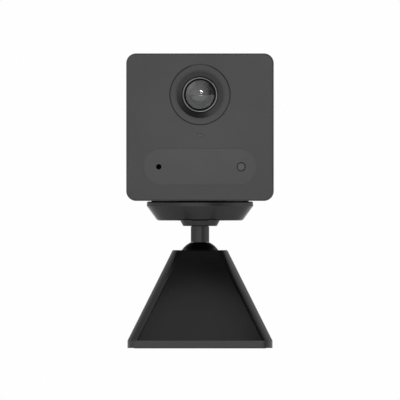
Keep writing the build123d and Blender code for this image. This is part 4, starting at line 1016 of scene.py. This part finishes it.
rubber_flap = make_flap()
flap_middle_x = (flap_low.x + flap_high.x) / 2
hinge_half = (flap_high.x - flap_low.x) / 2 - FLAP_CORNER
hinge_roll = add_rod(
    "hinge_roll",
    (flap_middle_x - hinge_half, pin_middle.y, pin_middle.z),
    (flap_middle_x + hinge_half, pin_middle.y, pin_middle.z),
    HINGE_RADIUS,
)
round_edges(hinge_roll, lambda middle, along: abs(along.x) < 0.1, HINGE_EDGE, 2)
for part in (hinge_roll, *make_flap_ribs(), *make_flap_plugs()):
    combine(rubber_flap, part, "UNION")
pin_hole = add_rod(
    "pin_hole",
    (pin_low.x - MM, pin_middle.y, pin_middle.z),
    (pin_high.x + MM, pin_middle.y, pin_middle.z),
    PIN_HOLE_RADIUS,
    24,
)
combine(rubber_flap, pin_hole, "DIFFERENCE")
for side, limit in ((-1, flap_low.x), (1, flap_high.x)):
    notch_edge = flap_middle_x + side * NOTCH_FROM_MIDDLE
    notch = add_block(
        "corner_notch",
        (min(notch_edge, limit + side * MM), flap_low.y - MM, flap_low.z - MM),
        (max(notch_edge, limit + side * MM), flap_high.y + MM, NOTCH_TOP_Z),
    )
    combine(rubber_flap, notch, "DIFFERENCE")
hand_over(rubber_flap, soft_rubber, "port_flap", "rubber", "port_flap")

# %% [markdown]
# ### The foot pad
#
# The foot pad grips the table with a raised rim and rows of ribs. One rib is modelled and an Array
# modifier repeats it.

# %% Model the foot pad
foot_low, foot_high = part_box("foot_pad")
FOOT_CORNER = 1.4 * MM
FOOT_RIM = 1.8 * MM
FOOT_RELIEF = 0.35 * MM
FOOT_EDGE = 0.15 * MM
FOOT_RIM_WALL = 0.1 * MM
FOOT_RIB_WIDTH = 1.3 * MM
FOOT_RIB_PITCH = 2.6 * MM
FOOT_RIB_FROM_RIM = 0.6 * MM
FOOT_RIB_OVERLAP = 0.1 * MM


def make_foot():
    foot = add_block("ribbed_foot", foot_low, foot_high)
    round_edges(foot, runs_along("z"), FOOT_CORNER, 6)
    round_edges(foot, lambda middle, along: middle.z < foot_low.z + TOUCH, FOOT_EDGE, 3)
    edit(foot, "FACE")
    pick_faces(foot, lambda middle, normal: normal.z < -FACES_STRAIGHT)
    bpy.ops.mesh.inset(thickness=FOOT_RIM)
    bpy.ops.mesh.inset(thickness=FOOT_RIM_WALL, depth=-FOOT_RELIEF)
    bpy.ops.object.mode_set(mode="OBJECT")
    return foot


def make_foot_ribs():
    span = foot_high.x - FOOT_RIM - FOOT_RIB_FROM_RIM
    count = int(2 * span / FOOT_RIB_PITCH)
    first = -(count - 1) * FOOT_RIB_PITCH / 2
    rib = add_block(
        "foot_rib",
        (first - FOOT_RIB_WIDTH / 2, -span, foot_low.z),
        (first + FOOT_RIB_WIDTH / 2, span, foot_low.z + FOOT_RELIEF + FOOT_RIB_OVERLAP),
    )
    round_edges(rib, lambda middle, along: middle.z < foot_low.z + TOUCH, FOOT_EDGE, 2)
    rows = rib.modifiers.new("rows", "ARRAY")
    rows.use_relative_offset = False
    rows.use_constant_offset = True
    rows.constant_offset_displace = (FOOT_RIB_PITCH, 0.0, 0.0)
    rows.count = count
    bpy.ops.object.modifier_apply(modifier=rows.name)
    return rib


ribbed_foot = make_foot()
combine(ribbed_foot, make_foot_ribs(), "UNION", "MANIFOLD")
hand_over(ribbed_foot, soft_rubber, "foot_pad", "rubber", "foot_pad")

# %% [markdown]
# ### The pad under the head
#
# This thin ring keeps the metal plate from marking the shell. A small rounded rectangle spun round
# the axis gives it soft edges. Its hole is as wide as the CAD pad's own.

# %% Model the pad under the head
PAD_CORNER = 0.08 * MM
pad_low, pad_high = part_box("plate_pad")
pad_mesh = frame["nodes"]["plate_pad"].data
pad_hole = min(math.hypot(vertex.co.x, vertex.co.y) for vertex in pad_mesh.vertices)
head_pad = add_ring(
    "head_pad",
    (0.0, 0.0, 0.0),
    "Z",
    pad_hole,
    pad_high.x,
    pad_low.z,
    pad_high.z,
    PAD_CORNER,
    steps=128,
)
hand_over(head_pad, soft_rubber, "plate_pad", "rubber", "plate_pad")

# %% [markdown]
# ### Microphone mesh and speaker cloth
#
# Behind the microphone hole sits a disc of black mesh that keeps dust out, and behind the speaker
# holes a wider disc of cloth. A disc of woven threads this fine is one thin sheet with a slight
# crown, because it is glued under tension. Its weave is in the finish, as two crossed waves.

# %% Model the mesh and the cloth
WINDOW_MIDDLE_Z = sum(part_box("infrared_window")[index].z for index in (0, 1)) / 2
MICROPHONE_X = sum(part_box("microphone")[index].x for index in (0, 1)) / 2
SPEAKER_Z = sum(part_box("speaker_cone")[index].z for index in (0, 1)) / 2
MESH_RADIUS, MESH_THICKNESS, MESH_CROWN = 0.97 * MM, 0.08 * MM, 0.03 * MM
CLOTH_RADIUS, CLOTH_THICKNESS, CLOTH_CROWN = 9.2 * MM, 0.12 * MM, 0.12 * MM
MESH_BEHIND_WINDOW = 0.5 * MM
CLOTH_BEFORE_COVER = 0.35 * MM
CROWN_RINGS = 4
THREAD_PITCH = 0.16 * MM
THREAD_RELIEF = 0.25


def add_crowned_disc(name, centre, facing, radius, thickness, crown):
    """A thin disc whose front face is inset ring by ring and pushed out a little less each time."""
    front = Vector((0.0, facing * thickness, 0.0))
    disc = add_rod(name, centre, Vector(centre) + front, radius, 64)
    edit(disc, "FACE")
    pick_faces(disc, lambda middle, normal: normal.y * facing > FACES_STRAIGHT)
    for ring in range(CROWN_RINGS):
        share = (CROWN_RINGS - ring) / (CROWN_RINGS * (CROWN_RINGS + 1) / 2)
        bpy.ops.mesh.inset(thickness=radius / (CROWN_RINGS + 1), depth=crown * share)
    bpy.ops.object.mode_set(mode="OBJECT")
    return disc


woven_black = Finish("woven_black", (0.0015, 0.0015, 0.0015), 0.85, specular=0.04)


def weave(finish, pitch):
    """Two crossed waves make the over and under of the threads."""
    split = finish.nodes.new("ShaderNodeSeparateXYZ")
    finish.links.new(finish.place, split.inputs["Vector"])
    waves = []
    for axis in ("X", "Z"):
        along = split.outputs[axis]
        angle = math_node(finish.nodes, finish.links, "MULTIPLY", along, math.pi / pitch)
        waves.append(math_node(finish.nodes, finish.links, "SINE", angle))
    crossed = math_node(finish.nodes, finish.links, "MULTIPLY", *waves)
    return finish.bump(crossed, THREAD_RELIEF * pitch)


weave(woven_black, THREAD_PITCH).drift(0.0006, 0.25)
cover_inner_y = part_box("sound_gaskets")[1].y
microphone_mesh = add_crowned_disc(
    "microphone_mesh",
    (MICROPHONE_X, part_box("infrared_window")[1].y + MESH_BEHIND_WINDOW, WINDOW_MIDDLE_Z),
    -1,
    MESH_RADIUS,
    MESH_THICKNESS,
    MESH_CROWN,
)
hand_over(microphone_mesh, woven_black, "microphone", "paper_cone")
speaker_cloth = add_crowned_disc(
    "speaker_cloth",
    (0.0, cover_inner_y - CLOTH_BEFORE_COVER, SPEAKER_Z),
    1,
    CLOTH_RADIUS,
    CLOTH_THICKNESS,
    CLOTH_CROWN,
)
hand_over(speaker_cloth, woven_black, "speaker_cone", "paper_cone")

# %% [markdown]
# ### Foam rings
#
# Foam rings seal the speaker to the cover and the microphone to the panel, so that sound only gets
# through the holes. Each is the same spun ring at its own place.

# %% Model the foam rings
SPEAKER_FOAM_INNER, SPEAKER_FOAM_OUTER, SPEAKER_FOAM_CORNER = 9.4 * MM, 10.98 * MM, 0.10 * MM
MIC_FOAM_INNER, MIC_FOAM_OUTER, MIC_FOAM_CORNER = 0.8 * MM, 2.2 * MM, 0.12 * MM
gasket_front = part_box("speaker_frame")[1].y
speaker_foam = add_ring(
    "speaker_foam",
    (0.0, 0.0, SPEAKER_Z),
    "Y",
    SPEAKER_FOAM_INNER,
    SPEAKER_FOAM_OUTER,
    gasket_front,
    cover_inner_y,
    SPEAKER_FOAM_CORNER,
)
microphone_foam = add_ring(
    "microphone_foam",
    (MICROPHONE_X, 0.0, WINDOW_MIDDLE_Z),
    "Y",
    MIC_FOAM_INNER,
    MIC_FOAM_OUTER,
    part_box("sound_gaskets")[0].y,
    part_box("microphone")[0].y,
    MIC_FOAM_CORNER,
    steps=48,
)
foam_rings = join_pieces("foam_rings", [speaker_foam, microphone_foam])
hand_over(foam_rings, seal_foam, "sound_gaskets", "foam", "sound_gaskets")

# %% [markdown]
# ### The sign on the power button
#
# The button carries the usual sign for power: an open ring with a short bar in its gap. It is a
# thin inlay, so it is real geometry: a small rectangle is spun through most of a turn and then
# turned so that the gap is at the top, and the bar is a rounded block.

# %% Model the power sign
button_low, button_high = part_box("power_button")
SIGN_RADIUS, SIGN_STROKE, SIGN_GAP = 1.35 * MM, 0.26 * MM, 70.0
SIGN_PROUD, SIGN_SUNK = 0.02 * MM, 0.10 * MM
BAR_FROM, BAR_TO, BAR_ROUNDING = 0.35, 1.25, 0.45


def make_power_sign():
    middle_z = (button_low.z + button_high.z) / 2
    front = button_high.y + SIGN_PROUD
    back = button_high.y - SIGN_SUNK
    bpy.ops.object.select_all(action="DESELECT")
    bpy.ops.mesh.primitive_plane_add(size=SIGN_STROKE, location=(SIGN_RADIUS, 0.0, 0.0))
    ring = start_piece("power_ring")
    edit(ring, "VERT")
    bpy.ops.mesh.select_all(action="SELECT")
    bpy.ops.transform.resize(value=(1.0, (front - back) / SIGN_STROKE, 1.0))
    bpy.ops.mesh.spin(
        steps=48, angle=math.radians(360.0 - SIGN_GAP), center=(0, 0, 0), axis=(0, 1, 0)
    )
    bpy.ops.mesh.select_all(action="SELECT")
    bpy.ops.mesh.normals_make_consistent(inside=False)
    bpy.ops.object.mode_set(mode="OBJECT")
    ring.rotation_euler = (0.0, math.radians(-90.0 - SIGN_GAP / 2), 0.0)
    ring.location = (0.0, (front + back) / 2, middle_z)
    bpy.ops.object.transform_apply(location=True, rotation=True, scale=True)
    bar = add_block(
        "power_bar",
        (-SIGN_STROKE / 2, back, middle_z + BAR_FROM * SIGN_RADIUS),
        (SIGN_STROKE / 2, front, middle_z + BAR_TO * SIGN_RADIUS),
    )
    round_edges(bar, runs_along("y"), BAR_ROUNDING * SIGN_STROKE, 4)
    return join_pieces("power_sign", [ring, bar])


sign_paint = Finish("sign_paint", (0.34, 0.34, 0.34), 0.50)
sign_paint.drift(0.0004, 0.05).grain(0.0002, 0.000003)
power_sign = make_power_sign()
hand_over(power_sign, sign_paint, "power_button", "light_pipe")

left_plain = sorted(set(frame["nodes"]) - set(finished_nodes))
print("nodes without a finish:", left_plain)
